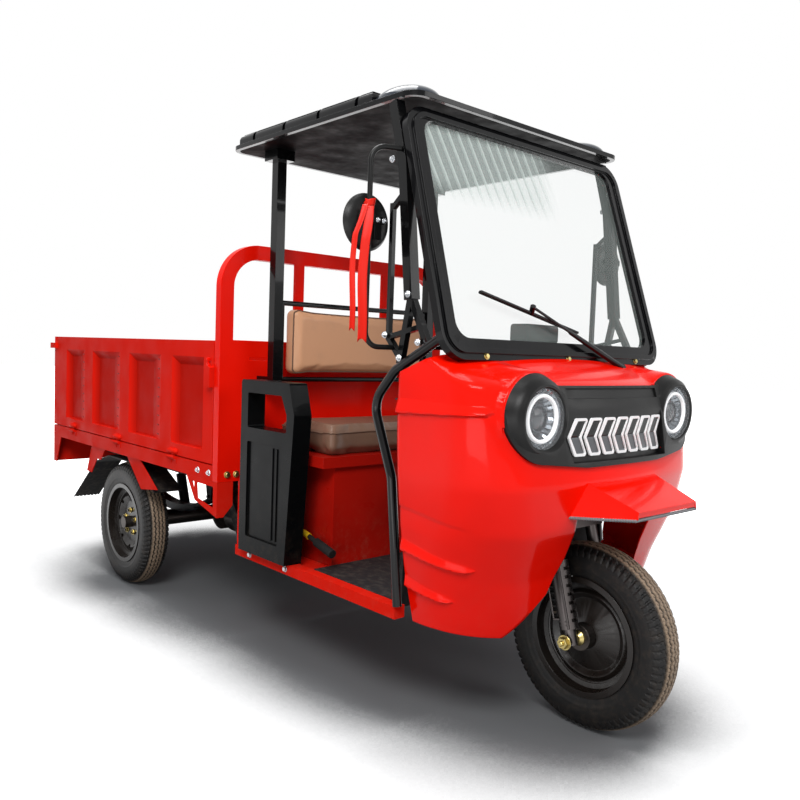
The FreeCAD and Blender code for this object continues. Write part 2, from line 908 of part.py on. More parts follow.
def make_shocks():
    foot = vec(-axle_tube_radius, shock_side, tyre_radius + shock_foot_rise)
    tilt = shock_offset / math.hypot(shock_offset, rail_bottom - foot.z)
    top_level = rail_bottom - shock_rod_radius * tilt - running_gap
    top = vec(-axle_tube_radius - shock_offset, shock_side, top_level)
    along = top - foot
    waist = foot + along * shock_body_share
    body = rod(foot, waist, shock_radius)
    shaft = rod(waist - vec(0, 0, weld), top, shock_rod_radius)
    save("shock_absorbers", twins(joined([body, shaft])))


def make_rear_axle():
    side = wheel_side - drum_width - backing_sheet - wheel_clear
    centre = vec(0, 0, tyre_radius)
    pieces = [rod(vec(0, -side, tyre_radius), vec(0, side, tyre_radius), axle_tube_radius)]
    half = differential_length / 2
    case = turned([(-half, 0), (-half, axle_tube_radius), (-half / 2, differential_radius),
                   (half / 2, differential_radius), (half, axle_tube_radius), (half, 0)],
                  centre, along_y, along_z)
    pieces.append(case)
    nose = vec(differential_radius * nose_place_share, 0, tyre_radius)
    motor = nose + along_x * differential_length / 2
    pieces.append(rod(nose, motor, axle_tube_radius * nose_radius_share))
    pieces.append(rod(motor, motor + along_x * motor_length, motor_radius))
    stub = wheel_side + hub_half - cap_length * stub_inset_share
    pieces.append(rod(vec(0, -stub, tyre_radius), vec(0, stub, tyre_radius), axle_radius))
    for outward in (-1, 1):
        start = vec(0, side * outward, tyre_radius)
        pieces.append(rod(start, start + along_y * backing_sheet * outward, drum_radius))
    save("rear_axle", joined(pieces))


def make_battery():
    low = low_rail_bottom + cross_tube_radius * 2 + running_gap
    high = high_rail_bottom + cross_tube_radius - running_gap
    half = battery_half_width
    save("battery_box", box((battery_rear, battery_front), (-half, half), (low, high)))


# Load bed
def make_bed(hinges):
    outer = box((bed_rear, bed_front), (-bed_half_width, bed_half_width), (rail_bottom, rail_top))
    web = rail_sheet
    hollow = box((bed_rear + web, bed_front - web), (web - bed_half_width, bed_half_width - web),
                 (rail_bottom + web, rail_top - floor_sheet))
    depth = rail_depth
    hole = box((bed_rear + depth, bed_front - depth), (depth - bed_half_width, bed_half_width - depth),
               (rail_bottom - overrun, rail_bottom + overrun / 2))
    ribs = []
    pitch = (bed_front - bed_rear - cross_rib_width * 2) / (cross_rib_count - 1)
    for index in range(cross_rib_count):
        x = bed_rear + cross_rib_width / 2 + pitch * index
        ribs.append(box((x, x + cross_rib_width), (web - bed_half_width, bed_half_width - web),
                        (rail_bottom, rail_top - floor_sheet)))
    saddles = []
    for outward in (-1, 1):
        y = main_rail_offset * outward
        for index in range(cross_rib_count):
            x = bed_rear + cross_rib_width / 2 + pitch * index
            low = high_rail_top + running_gap
            if x + cross_rib_width < kick_rear:
                sides = (y - main_rail_width / 2, y + main_rail_width / 2)
                saddles.append(box((x, x + cross_rib_width), sides, (low, rail_bottom)))
    save("bed_floor", joined([outer.cut(hollow).cut(hole)] + ribs + saddles + hinges))


def knuckles(pivot, axis, outward, wall_gap):
    """hinge pieces round a pin: the fixed leaf with its pin, and the swinging leaf"""
    end = knuckle_length * hinge_pin_share
    step = knuckle_length / 2
    pin = rod(pivot - axis * end, pivot + axis * end, hinge_pin_radius)
    fixed = [pin]
    inward = outward * -(wall_gap + rail_sheet / 4)
    for low, high in ((-end, -step - running_gap), (step + running_gap, end)):
        fixed.append(rod(pivot + axis * low, pivot + axis * high, knuckle_radius))
        corner = pivot + axis * low + inward
        across, drop = axis * (high - low), along_z * hinge_leaf_height
        leaf = [corner, corner + across, corner + across - drop, corner - drop]
        fixed.append(slab(leaf, outward * (knuckle_radius / 2)))
    low = pivot - axis * (step - running_gap)
    high = pivot + axis * (step - running_gap)
    bore = rod(pivot - axis * end, pivot + axis * end, hinge_pin_radius + bearing_gap)
    top = along_z * (hinge_leaf_height * hinge_swing_share)
    step = along_z * (knuckle_radius / 2 + gate_seat_gap / 2)
    near = outward * -(wall_gap - running_gap)
    sheet_push = outward * (knuckle_radius / 2)
    neck = slab([low + near, high + near, high + near + top, low + near + top], sheet_push)
    low_foot, high_foot = low + inward, high + inward
    leaf = slab([low_foot + step, high_foot + step, high_foot + top, low_foot + top], sheet_push)
    swing = rod(low, high, knuckle_radius).multiFuse([neck, leaf]).cut(bore)
    return joined(fixed), swing


def gate_skin(length):
    """one folding gate, lying along X from 0, outer face on y = 0 and body on +y"""
    height = gate_top - gate_bottom
    body = box((0, length), (0, gate_thickness), (0, height))
    top = height - gate_rail_height
    low = gate_foot_height
    slope = gate_recess * gate_slope_share
    recess = [vec(gate_stile, -overrun, low), vec(gate_stile, -overrun, top), vec(gate_stile, 0, top),
              vec(gate_stile, gate_recess, top - slope), vec(gate_stile, gate_recess, low)]
    span = length - gate_stile * 2
    return body.cut(slab(recess, vec(span, 0, 0)))


def gate_rib(x, length):
    """a pressed rib with a long rear flank and a steep front flank"""
    start = max(x - rib_rear_flank, gate_stile)
    floor = gate_recess
    top = gate_top - gate_bottom - gate_rail_height
    rise = floor * (1 - (x - start) / rib_rear_flank)
    plan = [vec(start, floor + running_gap, gate_foot_height), vec(start, floor - rise, gate_foot_height),
            vec(x, 0, gate_foot_height), vec(x + rib_crest, 0, gate_foot_height),
            vec(x + rib_crest + rib_front_flank, floor + running_gap, gate_foot_height)]
    if rise < running_gap:
        plan = plan[:1] + plan[2:]
    return slab(plan, vec(0, 0, top - gate_foot_height))


def make_side_gates():
    length = bed_front - bed_rear - gate_seat_gap
    pieces = [gate_skin(length)]
    for share in rib_place_shares:
        pieces.append(gate_rib(length * share, length))
    gate = joined(pieces)
    gate.translate(vec(bed_rear, -bed_half_width, gate_bottom))
    latch_x = bed_front - gate_seat_gap - latch_width / 2
    latch_z = gate_top - latch_drop
    handle = upright([(latch_x - latch_width / 2, latch_z), (latch_x, latch_z + latch_height / 3),
                      (latch_x + latch_width / 2, latch_z + latch_height / 4),
                      (latch_x + latch_width / 2, latch_z - latch_height / 2),
                      (latch_x - latch_width / 4, latch_z - latch_height / 2)],
                     -bed_half_width - latch_depth, latch_depth)
    hook = box((bed_rear - latch_depth, bed_rear + hook_length),
               (-bed_half_width - latch_depth, -bed_half_width),
               (gate_top - hook_drop - hook_height, gate_top - hook_drop))
    fixed, swings = [], []
    for share in hinge_place_shares:
        pivot = vec(bed_rear + (bed_front - bed_rear) * share, -hinge_side, hinge_level)
        still, swing = knuckles(pivot, along_x, -along_y, hinge_side - bed_half_width)
        fixed.append(still)
        swings.append(swing)
    gate = joined([gate, handle, hook] + swings)
    save("side_gate_right", gate)
    save("side_gate_left", flip(gate))
    return fixed


def make_tail_gate():
    half = bed_half_width - gate_thickness - wheel_clear
    length = half * 2
    pieces = [gate_skin(length)]
    for share in rib_place_shares:
        pieces.append(gate_rib(length * share, length))
    gate = joined(pieces)
    gate.rotate(vec(0, 0, 0), along_z, -90)
    gate.translate(vec(bed_rear, half, gate_bottom))
    fixed, swings = [], []
    for share in hinge_place_shares:
        pivot = vec(bed_rear - (hinge_side - bed_half_width), -half + length * share, hinge_level)
        still, swing = knuckles(pivot, along_y, -along_x, hinge_side - bed_half_width)
        fixed.append(still)
        swings.append(swing)
    save("tail_gate", joined([gate] + swings))
    return fixed


def make_gates():
    sides = make_side_gates()
    return sides + [flip(shape) for shape in sides] + make_tail_gate()


def make_tail_panel():
    front = bed_rear + tail_depth
    half = bed_half_width
    board = box((bed_rear, front), (-half, half), (tail_bottom, rail_bottom - running_gap))
    wing = [(bed_rear, tail_bottom), (bed_rear + tail_wing_foot, tail_bottom),
            (bed_rear + tail_wing_length, rail_bottom - running_gap), (bed_rear, rail_bottom - running_gap)]
    pieces = [board, upright(wing, -half, cage_sheet), upright(wing, half - cage_sheet, cage_sheet)]
    panel = joined(pieces)
    lamps = []
    level = (tail_bottom + rail_bottom - lamp_height) / 2
    for outward in (-1, 1):
        near = (half - lamp_inset) * outward
        far = (half - lamp_inset - lamp_width) * outward
        pocket = box((bed_rear - overrun, bed_rear + lamp_depth), (near, far), (level, level + lamp_height))
        panel = panel.cut(pocket)
        gap = running_gap * outward
        height = (level + running_gap, level + lamp_height - running_gap)
        depth = (bed_rear - running_gap, bed_rear + lamp_depth - running_gap)
        lamps.append(box(depth, (near - gap, far + gap), height))
    save("tail_panel", panel)
    save("tail_lamps", group(lamps))


def make_headboard():
    half = bed_half_width
    inner = half - hoop_width
    top = hoop_top - hoop_width
    foot = rail_bottom
    outline = [(-half, foot), (-half, hoop_top), (half, hoop_top), (half, foot),
               (inner, foot), (inner, top), (-inner, top), (-inner, foot)]
    small = hoop_corner - hoop_width
    hoop = facing(outline, bed_front + running_gap, hoop_depth - running_gap,
                  [0, hoop_corner, hoop_corner, 0, 0, small, small, 0])
    slats = []
    for side in (-slat_offset, slat_offset):
        low, high = side - slat_width / 2, side + slat_width / 2
        x = headboard_front - slat_depth
        slats.append(box((x, headboard_front), (low, high), (panel_top, top + rail_sheet)))
    x = headboard_front - panel_sheet
    panel = box((x, headboard_front), (-inner - weld, inner + weld), (foot, panel_top + weld))
    cuts = []
    for outward in (-1, 1):
        near = (inner - slot_edge) * outward
        far = (inner - slot_edge - slot_length) * outward
        level = panel_top - slot_drop
        cuts.append(box((x - overrun, x + overrun), (near, far), (level, level + slot_height)))
    wall_half = half - cage_front_width - skirt_gap
    lower = box((x, headboard_front), (-wall_half, wall_half), (low_rail_top + running_gap, foot))
    save("headboard", joined([hoop, panel.cut(cuts), lower] + slats))


def make_cages():
    half = bed_half_width
    top = rail_bottom - running_gap
    back = headboard_front
    side = [(back - cage_rear_reach, top), (back - cage_heel_reach, top - cage_heel_drop),
            (back, cage_bottom), (back, top)]
    plate = upright(side, -half, cage_sheet)
    bar = cage_bar
    heel, heel_level = back - cage_heel_reach, top - cage_heel_drop
    rim = bar * cage_rim_share
    window = [(heel + bar / 2, top - bar), (heel + bar, heel_level + bar / 2),
              (back - rim, cage_bottom + bar * cage_foot_share), (back - rim, top - bar)]
    slot = [(back - cage_rear_reach + bar * cage_slot_share, top - bar), (heel - bar / 4, heel_level + rim),
            (heel - bar / 4, top - bar)]
    plate = plate.cut(upright(window, -half - overrun, overrun * 2, bar / 3))
    plate = plate.cut(upright(slot, -half - overrun, overrun * 2, bar / 6))
    front = [(-half, top), (-half, cage_bottom), (cage_foot_width - half, cage_bottom),
             (cage_front_width - half, top - cage_heel_drop), (cage_front_width - half, top)]
    face = facing(front, back - cage_sheet, cage_sheet)
    return [twins(joined([plate, face]))]


def make_mudguards():
    crown = tyre_radius * 2 + guard_clear
    flat = tyre_radius * guard_crown_share
    path = [(-flap_reach, flap_bottom), (-flap_shoulder, crown - flap_shoulder_drop), (-flat, crown),
            (flat, crown), (guard_front_reach, crown - guard_front_drop)]
    points = [vec(x, -wheel_side, z + guard_sheet / 2) for x, z in path]
    shell = strip(points, guard_bend, along_y, guard_half_width * 2, guard_sheet)
    pitch = guard_half_width * 2 / flap_notch_count
    cuts = []
    for index in range(flap_notch_count):
        y = -wheel_side - guard_half_width + pitch * index
        x, low, high = -flap_reach - overrun, flap_bottom - flap_notch, flap_bottom + flap_notch
        points = [vec(x, y, low), vec(x, y + pitch / 2, high), vec(x, y + pitch, low)]
        cuts.append(slab(points, vec(overrun * 2, 0, 0)))
    save("mudguards", twins(shell.cut(cuts)))
    outer = -wheel_side - guard_half_width - running_gap
    top = rail_bottom - running_gap
    reach, drop = flap_shoulder + bracket_reach, flap_shoulder_drop
    rear = [(-reach * along, top - drop * down) for along, down in rear_bracket_shares]
    front = [(flat * along, top) for along in front_bracket_top_shares]
    for along, down in front_bracket_foot_shares:
        front.append((guard_front_reach * along, top - guard_front_drop * down))
    return [twins(upright(outline, outer, -bracket_sheet)) for outline in (rear, front)]


# Cab floor, seat and rear posts
def make_cab_floor():
    inner = sill_half_width - sill_width
    sill = box((sill_rear, sill_front), (-sill_half_width, -inner), (sill_top - sill_height, sill_top))
    pan = box((headboard_front + running_gap, floor_front), (-inner, inner), (floor_top - sheet, floor_top))
    joists = []
    for y in (-main_rail_offset, main_rail_offset):
        joists.append(box((sill_rear, floor_front), (y - main_rail_width / 2, y + main_rail_width / 2),
                          (low_rail_top + running_gap, floor_top)))
    necks = neck_tubes(running_gap)
    save("cab_floor", joined([sill, flip(sill), pan] + joists).cut(necks))
    mat_half = inner - mat_inset
    mat = box((seat_box_front + running_gap, floor_front - mat_inset), (-mat_half, mat_half),
              (floor_top + running_gap, floor_top + mat_thickness))
    save("floor_mat", mat.cut(necks))


def make_seat():
    half = seat_box_half_width
    top = lid_top - sheet - running_gap
    outer = box((seat_box_rear, seat_box_front), (-half, half), (floor_top + running_gap, top))
    inner = box((seat_box_rear + sheet, seat_box_front - sheet), (sheet - half, half - sheet),
                (floor_top + sheet, top + overrun))
    wide = lid_half_width
    shell = box((lid_rear, lid_front), (-wide, wide), (lid_top - lid_height, lid_top))
    under = box((lid_rear - overrun, lid_front - sheet), (sheet - wide, wide - sheet),
                (lid_top - lid_height - overrun, lid_top - sheet))
    lid = shell.cut(under)
    hinge_x = lid_rear - lid_hinge_radius - running_gap
    hinge_z = lid_top - lid_hinge_radius
    leaves, pins = [], []
    for side in (-lid_hinge_side, lid_hinge_side):
        low, high = side - lid_hinge_length / 2, side + lid_hinge_length / 2
        bore = rod(vec(hinge_x, low - overrun, hinge_z), vec(hinge_x, high + overrun, hinge_z),
                   lid_hinge_radius / 2 + bearing_gap)
        knuckle = rod(vec(hinge_x, low, hinge_z), vec(hinge_x, high, hinge_z), lid_hinge_radius)
        leaf = box((hinge_x, lid_rear + sheet), (low, high), (lid_top - sheet, lid_top))
        leaves.append(knuckle.fuse(leaf).cut(bore))
        reach = lid_hinge_length / 4
        pin = lid_hinge_radius / 2
        pins.append(rod(vec(hinge_x, low - reach, hinge_z), vec(hinge_x, high + reach, hinge_z), pin))
        foot = hinge_z - lid_height
        for y0, y1 in ((low - reach, low - running_gap), (high + running_gap, high + reach)):
            pins.append(box((hinge_x - pin, hinge_x + pin), (y0, y1), (foot, hinge_z)))
            pins.append(box((hinge_x - pin, seat_box_rear + sheet), (y0, y1), (foot, foot + sheet)))
    save("seat_lid", joined([lid] + leaves))
    save("seat_box", joined([outer.cut(inner)] + pins))
    cushion_half = lid_half_width - cushion_inset
    block = box((cushion_rear, lid_front + cushion_inset), (-cushion_half, cushion_half),
                (lid_top + running_gap, lid_top + cushion_height))
    save("seat_cushion", block.makeFillet(cushion_round, block.Edges))


def make_seat_back():
    half = post_outer - post_size - back_tube * 2 - weld
    block = box((back_front - back_thickness, back_front), (-half, half), (back_bottom, back_top))
    save("seat_back", block.makeFillet(back_round, block.Edges))
    side = post_outer - post_size - back_tube + weld
    low, high = back_bottom - back_tube - running_gap, back_top + back_tube + running_gap
    x = post_front - post_size / 2
    corners = [vec(x, -side, low), vec(x, side, low), vec(x, side, high), vec(x, -side, high)]
    head = roof_level - running_gap
    plate = (x - post_plate_length / 2, x + post_plate_length / 2)
    plate_foot = roof_level - post_plate_height
    back = (headboard_front + running_gap, post_front - sheet)
    posts = []
    for outward in (-1, 1):
        sides = (post_outer * outward, (post_outer - post_size) * outward)
        middle = sum(sides) / 2
        posts.append(box((post_front - post_size, post_front), sides, (post_foot, head)))
        posts.append(box(back, sides, (post_foot, post_foot + post_size)))
        posts.append(box(plate, (middle - post_size, middle + post_size), (plate_foot, head)))
    frame = []
    for first_corner, second_corner in zip(corners, corners[1:] + corners[:1]):
        frame.append(rod(first_corner, second_corner, back_tube))
    for corner in corners:
        frame.append(Part.makeSphere(back_tube, corner))
    save("rear_posts", joined(posts + frame))


def make_arm_guards():
    outer = -arm_guard_outer
    foot = sill_top + running_gap
    outline = [(arm_guard_rear, foot), (arm_guard_front, foot), (arm_guard_kink_front, arm_guard_kink),
               (arm_guard_top_front, arm_guard_top), (arm_guard_rear, arm_guard_top)]
    bar = arm_guard_frame
    body = upright(outline, outer, arm_guard_depth, [0, 0, bar / 2, bar / 4, bar / 4])
    rear, kink = arm_guard_rear + bar, arm_guard_kink_front - bar
    window = [(rear, arm_guard_window), (kink, arm_guard_window), (kink, arm_guard_kink),
              (arm_guard_top_front - bar, arm_guard_top - bar), (rear, arm_guard_top - bar)]
    body = body.cut(upright(window, outer - overrun, overrun * 3, bar / 6))
    panel = [(rear, arm_guard_panel_foot), (arm_guard_front - bar, arm_guard_panel_foot),
             (arm_guard_front - bar / 2, arm_guard_panel_head), (rear, arm_guard_panel_head)]
    body = body.cut(upright(panel, outer - overrun, overrun + arm_guard_recess, bar / 6))
    save("arm_guards", twins(body))


# Front cowl
def cowl_section(index, inset, level=None):
    nose = cowl_rear + (cowl_nose - cowl_rear) * cowl_depth_shares[index] - inset
    half = cowl_half_width * cowl_half_shares[index] - inset
    corner = cowl_corner * cowl_corner_shares[index] - inset
    bow = cowl_front_bow - inset
    height = cowl_top - cowl_bottom
    z = cowl_bottom + height * cowl_level_shares[index] if level is None else level
    rear = cowl_rear + cowl_rear_rake * (1 - cowl_level_shares[index])
    if inset > 0:
        rear -= overrun
    front_centre = nose - bow
    spread = half - corner
    corner_x = front_centre + math.sqrt((bow - corner) ** 2 - spread ** 2)
    angle = math.atan2(spread, corner_x - front_centre)
    middle_angle = (angle + math.pi / 2) / 2

    def place(x, y):
        return vec(x, y, z)

    touch_x, touch_y = front_centre + bow * math.cos(angle), bow * math.sin(angle)
    mid_x, mid_y = corner_x + corner * math.cos(middle_angle), spread + corner * math.sin(middle_angle)
    edges = [
        Part.makeLine(place(rear, half), place(corner_x, half)),
        Part.Arc(place(corner_x, half), place(mid_x, mid_y), place(touch_x, touch_y)).toShape(),
        Part.Arc(place(touch_x, touch_y), place(nose, 0), place(touch_x, -touch_y)).toShape(),
        Part.Arc(place(touch_x, -touch_y), place(mid_x, -mid_y), place(corner_x, -half)).toShape(),
        Part.makeLine(place(corner_x, -half), place(rear, -half)),
        Part.makeLine(place(rear, -half), place(rear, half)),
    ]
    return Part.Wire(edges)


def cowl_loft(inset):
    sections = [cowl_section(index, inset) for index in range(len(cowl_level_shares))]
    if inset > 0:
        sections.insert(0, cowl_section(0, inset, cowl_bottom - overrun))
    return Part.makeLoft(sections, True, True)


def lamp_swells(inset):
    """the rounded swells of the cowl behind the lamps"""
    rear, front = -swell_length, -housing_depth - inset
    outline = [(rear, 0), (rear, swell_rear_radius - inset), (front, swell_radius - inset), (front, 0)]
    return [turned(outline, face, along_x, along_z) for face in lamp_places()]


def cowl_body(inset):
    return cowl_loft(inset).multiFuse(lamp_swells(inset))


def arch_cut():
    low = cowl_bottom - overrun
    bend = overrun
    mid_low, mid_high = arch_mid_height - bend, arch_mid_height + bend
    right = [(arch_half_high, arch_top), (arch_half_high, mid_high), (arch_half_mid, mid_low),
             (arch_half_low, cowl_bottom), (arch_half_low, low)]
    left = [(-y, z) for y, z in reversed(right)]
    bends = [0, bend, bend, 0, 0]
    return facing(left + right, arch_rear, front_reach - arch_rear, bends[::-1] + bends)


def hem_cut():
    """what is taken off the cowl's lower edge, which dips towards the wheel"""
    reach = overrun * 2
    outline = [(cowl_rear - reach, cowl_bottom - reach), (cowl_rear - reach, cowl_bottom + hem_rear_rise),
               (cowl_rear, cowl_bottom + hem_rear_rise), (hem_mid, cowl_bottom + hem_mid_rise),
               (hem_front, cowl_bottom), (hem_front, cowl_bottom - reach)]
    half = cowl_half_width + overrun
    return upright(outline, -half, half * 2)


def side_ribs(outer):
    """raised bands that follow both flanks of the cowl, from its rear edge to a blunt point"""
    skin = cowl_loft(-rib_proud).cut(outer)
    ribs = []
    for place, level in rib_levels.items():
        front, slope = wheelbase + rib_front_places[place], rib_slopes[place]
        rear = cowl_rear + cowl_rear_rake * (1 - (level - cowl_bottom) / (cowl_top - cowl_bottom))
        rear += rib_rear_inset
        low, high = level - rib_height / 2, level + rib_height / 2
        rise = rib_height / 4
        outline = [(rear, low + slope), (front - rib_height / 2, low + rise), (front, level),
                   (front - rib_height / 2, high - rise), (rear, high + slope)]
        half = cowl_half_width + overrun
        band = upright(outline, -half, half).common(skin)
        ribs += [band, flip(band)]
    return ribs


def lamp_places():
    return [vec(lamp_face, lamp_side * outward, lamp_level) for outward in (-1, 1)]


def pocket_block(grow, depth):
    """the chevron pocket from its bowed back, depth behind its face, out past the nose"""
    half, tip = pocket_half + grow, pocket_tip + grow
    low, high = pocket_bottom - grow, pocket_top + grow
    outline = [(-half, high), (-tip, (low + high) / 2), (-half, low), (half, low), (half, high)]
    block = facing(outline, grille_start, cowl_nose + overrun - grille_start)
    return block.cut(pocket_back(cowl_front_bow - depth))


def pocket_back(radius):
    axis_x = pocket_face - cowl_front_bow
    return rod(vec(axis_x, 0, cowl_bottom), vec(axis_x, 0, cowl_top), radius)


def make_cowl():
    outer = cowl_body(0)
    shell = outer.cut(cowl_body(cowl_wall))
    reach = overrun * 4
    crest = [(cowl_rear - reach, crest_rear_height), (cowl_rear, crest_rear_height),
             (crest_front, crest_height), (scuttle_front, scuttle_height),
             (scuttle_front, cowl_top + reach), (cowl_rear - reach, cowl_top + reach)]
    half = cowl_half_width
    shell = shell.cut(upright(crest, -half - overrun, (half + overrun) * 2))
    shell = shell.cut(arch_cut()).cut(hem_cut())
    grow = pocket_wall + running_gap
    holes = [pocket_block(grow, grow)]
    for face in lamp_places():
        start = face - along_x * overrun * 3
        holes.append(rod(start, face + along_x * overrun, bezel_radius + running_gap))
    save("front_cowl", joined([shell] + side_ribs(outer)).cut(holes))
    return outer


def grille_prism():
    """the panel from the front: a bar between two round lobes"""
    low, end = lamp_level - lobe_radius, cowl_nose + overrun
    outline = [(-lamp_side, grille_waist), (-lamp_side, low), (-panel_low_half, panel_low),
               (panel_low_half, panel_low), (lamp_side, low), (lamp_side, grille_waist)]
    pieces = [facing(outline, grille_start, end - grille_start)]
    for side in (-lamp_side, lamp_side):
        pieces.append(rod(vec(grille_start, side, lamp_level), vec(end, side, lamp_level), lobe_radius))
    return joined(pieces)


def bezel(face, skin, outer):
    """the housing round a lamp, flush with the panel inboard and proud of it outboard"""
    inner = lamp_radius + running_gap
    back = face - along_x * bezel_length
    plug = rod(back, vec(cowl_nose, face.y, face.z), bezel_radius).common(skin)
    cone = turned([(-housing_length, 0), (-housing_length, lobe_radius), (-housing_depth, lobe_radius),
                   (-bezel_shoulder_depth, bezel_shoulder), (bezel_proud, lamp_radius + bezel_lip),
                   (bezel_proud, 0)], face, along_x, along_z)
    core = rod(back, face, bezel_radius)
    cone = cone.cut(outer).fuse(cone.common(core))
    flare = overrun
    room = turned([(-bezel_length - overrun, 0), (-bezel_length - overrun, inner), (0, inner),
                   (flare, inner + flare), (flare, 0)], face, along_x, along_z)
    return plug.fuse(cone), room


def chevron(centre, width, sweep, low, high):
    middle = (low + high) / 2
    lean = sweep / 2
    left, right = centre - width / 2, centre + width / 2
    return [(left + lean, high), (right + lean, high), (right - lean, middle),
            (right + lean, low), (left + lean, low), (left - lean, middle)]


def make_grille(outer):
    skin = cowl_loft(-grille_proud)
    panel = skin.common(grille_prism()).cut(outer)
    bar = box((grille_start, cowl_nose + overrun), (-bar_half, bar_half), (bar_bottom, bar_top))
    panel = panel.cut(bar.cut(cowl_loft(bar_recess - grille_proud)))
    pieces = [pocket_block(pocket_wall, pocket_wall).common(skin)]
    rooms = [pocket_block(0, 0)]
    lamps, bowls, rings = [], [], []
    waist = lamp_radius * bowl_waist_share
    seat = lamp_length - lens_sheet * 3
    for face in lamp_places():
        ring, room = bezel(face, skin, outer)
        pieces.append(ring)
        rooms.append(room)
        profile = [(0, 0), (lamp_length / 2, waist), (seat, lamp_radius),
                   (seat, lamp_radius - lens_sheet), (lamp_length / 2 + lens_sheet, waist - lens_sheet),
                   (lens_sheet * 2, 0)]
        bowls.append(turned(profile, face - along_x * lamp_length, along_x, along_z))
        ring_back = face - along_x * (lens_sheet + running_gap + ring_depth)
        rings.append(pipe(ring_back, ring_back + along_x * ring_depth, ring_outer, ring_inner))
        lamps.append(rod(face - along_x * lens_sheet, face, lamp_radius))
    save("grille_panel", joined([panel] + pieces).cut(rooms))
    save("lamp_bowls", group(bowls + rings))
    save("lamp_lenses", group(lamps))
    raised = pocket_back(cowl_front_bow + chevron_proud)
    floor = pocket_back(cowl_front_bow + running_gap)
    depth = cowl_nose + overrun - grille_start
    line = chevron_line
    shapes = []
    for index in range(chevron_count):
        centre = chevron_first + chevron_pitch * index
        outline = chevron(centre, chevron_width, chevron_sweep, chevron_low, chevron_high)
        inline = chevron(centre, chevron_width - line * 2, chevron_sweep, chevron_low + line,
                         chevron_high - line)
        solid = facing(outline, grille_start, depth, line).cut(facing(inline, grille_start, depth, line / 3))
        shapes.append(solid.common(raised).cut(floor))
    save("grille_chevrons", group(shapes))


def make_visor():
    def section(x, inset, drop):
        top_half, low_half = visor_back_half - inset, visor_back_low_half - inset
        top, low = visor_back_height - drop, visor_back_height - visor_back_drop
        return [vec(x, -low_half, low), vec(x, -top_half, top), vec(x, top_half, top), vec(x, low_half, low)]

    thick = visor_sheet
    back = section(visor_back, 0, 0) + section(visor_back, thick, thick)[::-1]
    half, level = visor_front_half, visor_front_height
    front = [vec(visor_front, -half - thick, level - visor_lip), vec(visor_front, -half, level),
             vec(visor_front, half, level), vec(visor_front, half + thick, level - visor_lip),
             vec(visor_front, half, level - visor_lip), vec(visor_front, half - thick, level - thick),
             vec(visor_front, thick - half, level - thick), vec(visor_front, -half, level - visor_lip)]
    wires = [Part.makePolygon(ring + ring[:1]) for ring in (back, front)]
    return Part.makeLoft(wires, True, True)


def screen_outline(inset, top_inset=None):
    low, high = screen_half_low - inset, screen_half_high - inset
    top = screen_length - (inset if top_inset is None else top_inset)
    return [screen_point(-low, inset), screen_point(low, inset), screen_point(high, top),
            screen_point(-high, top)]


def make_screen(cowl_skin):
    back = screen_out * -screen_frame_depth
    frame = slab(screen_outline(0), back, screen_corner)
    hole_corner = screen_corner * screen_hole_share
    hole = [point + screen_out * overrun for point in screen_outline(screen_border, screen_border_top)]
    frame = frame.cut(slab(hole, screen_out * -overrun * 3, hole_corner))
    bead = slab(screen_outline(screen_bead_inset), screen_out * screen_bead_proud,
                screen_corner - screen_bead_inset)
    edge = screen_bead_inset + screen_bead_width
    inner = [point - screen_out * overrun for point in screen_outline(edge)]
    bead = bead.cut(slab(inner, screen_out * overrun * 3, screen_corner - edge))
    save("windscreen_frame", joined([frame, bead]).cut(cowl_skin))
    shift = screen_out * -(screen_frame_depth / 2)
    gap = running_gap
    glass = [point + shift for point in screen_outline(screen_border + gap, screen_border_top + gap)]
    save("windscreen_glass", slab(glass, screen_out * -glass_thickness, hole_corner))


def make_wiper(cowl_skin):
    pivot = screen_point(wiper_pivot_side, wiper_pivot_height, 0)
    stand = wiper_stand
    foot = screen_point(wiper_pivot_side, wiper_pivot_height, stand)
    joint = screen_point(wiper_joint_side, wiper_joint_height, stand + wiper_radius * 2)
    cap = rod(pivot, foot + screen_out * wiper_radius * 2, wiper_cap_radius)
    arm = rod(foot + screen_out * wiper_radius, joint, wiper_radius)
    tip = screen_point(wiper_tip_side, wiper_tip_height, stand - wiper_radius)
    heel = screen_point(wiper_heel_side, wiper_heel_height, stand - wiper_radius)
    blade = rod(tip, heel, wiper_radius)
    middle = (tip + heel) / 2
    reach = screen_out * wiper_radius
    joint_block = rod(middle - reach, joint + reach, wiper_radius * 2)
    save("wiper", joined([cap, arm, blade, joint_block]).cut(cowl_skin))


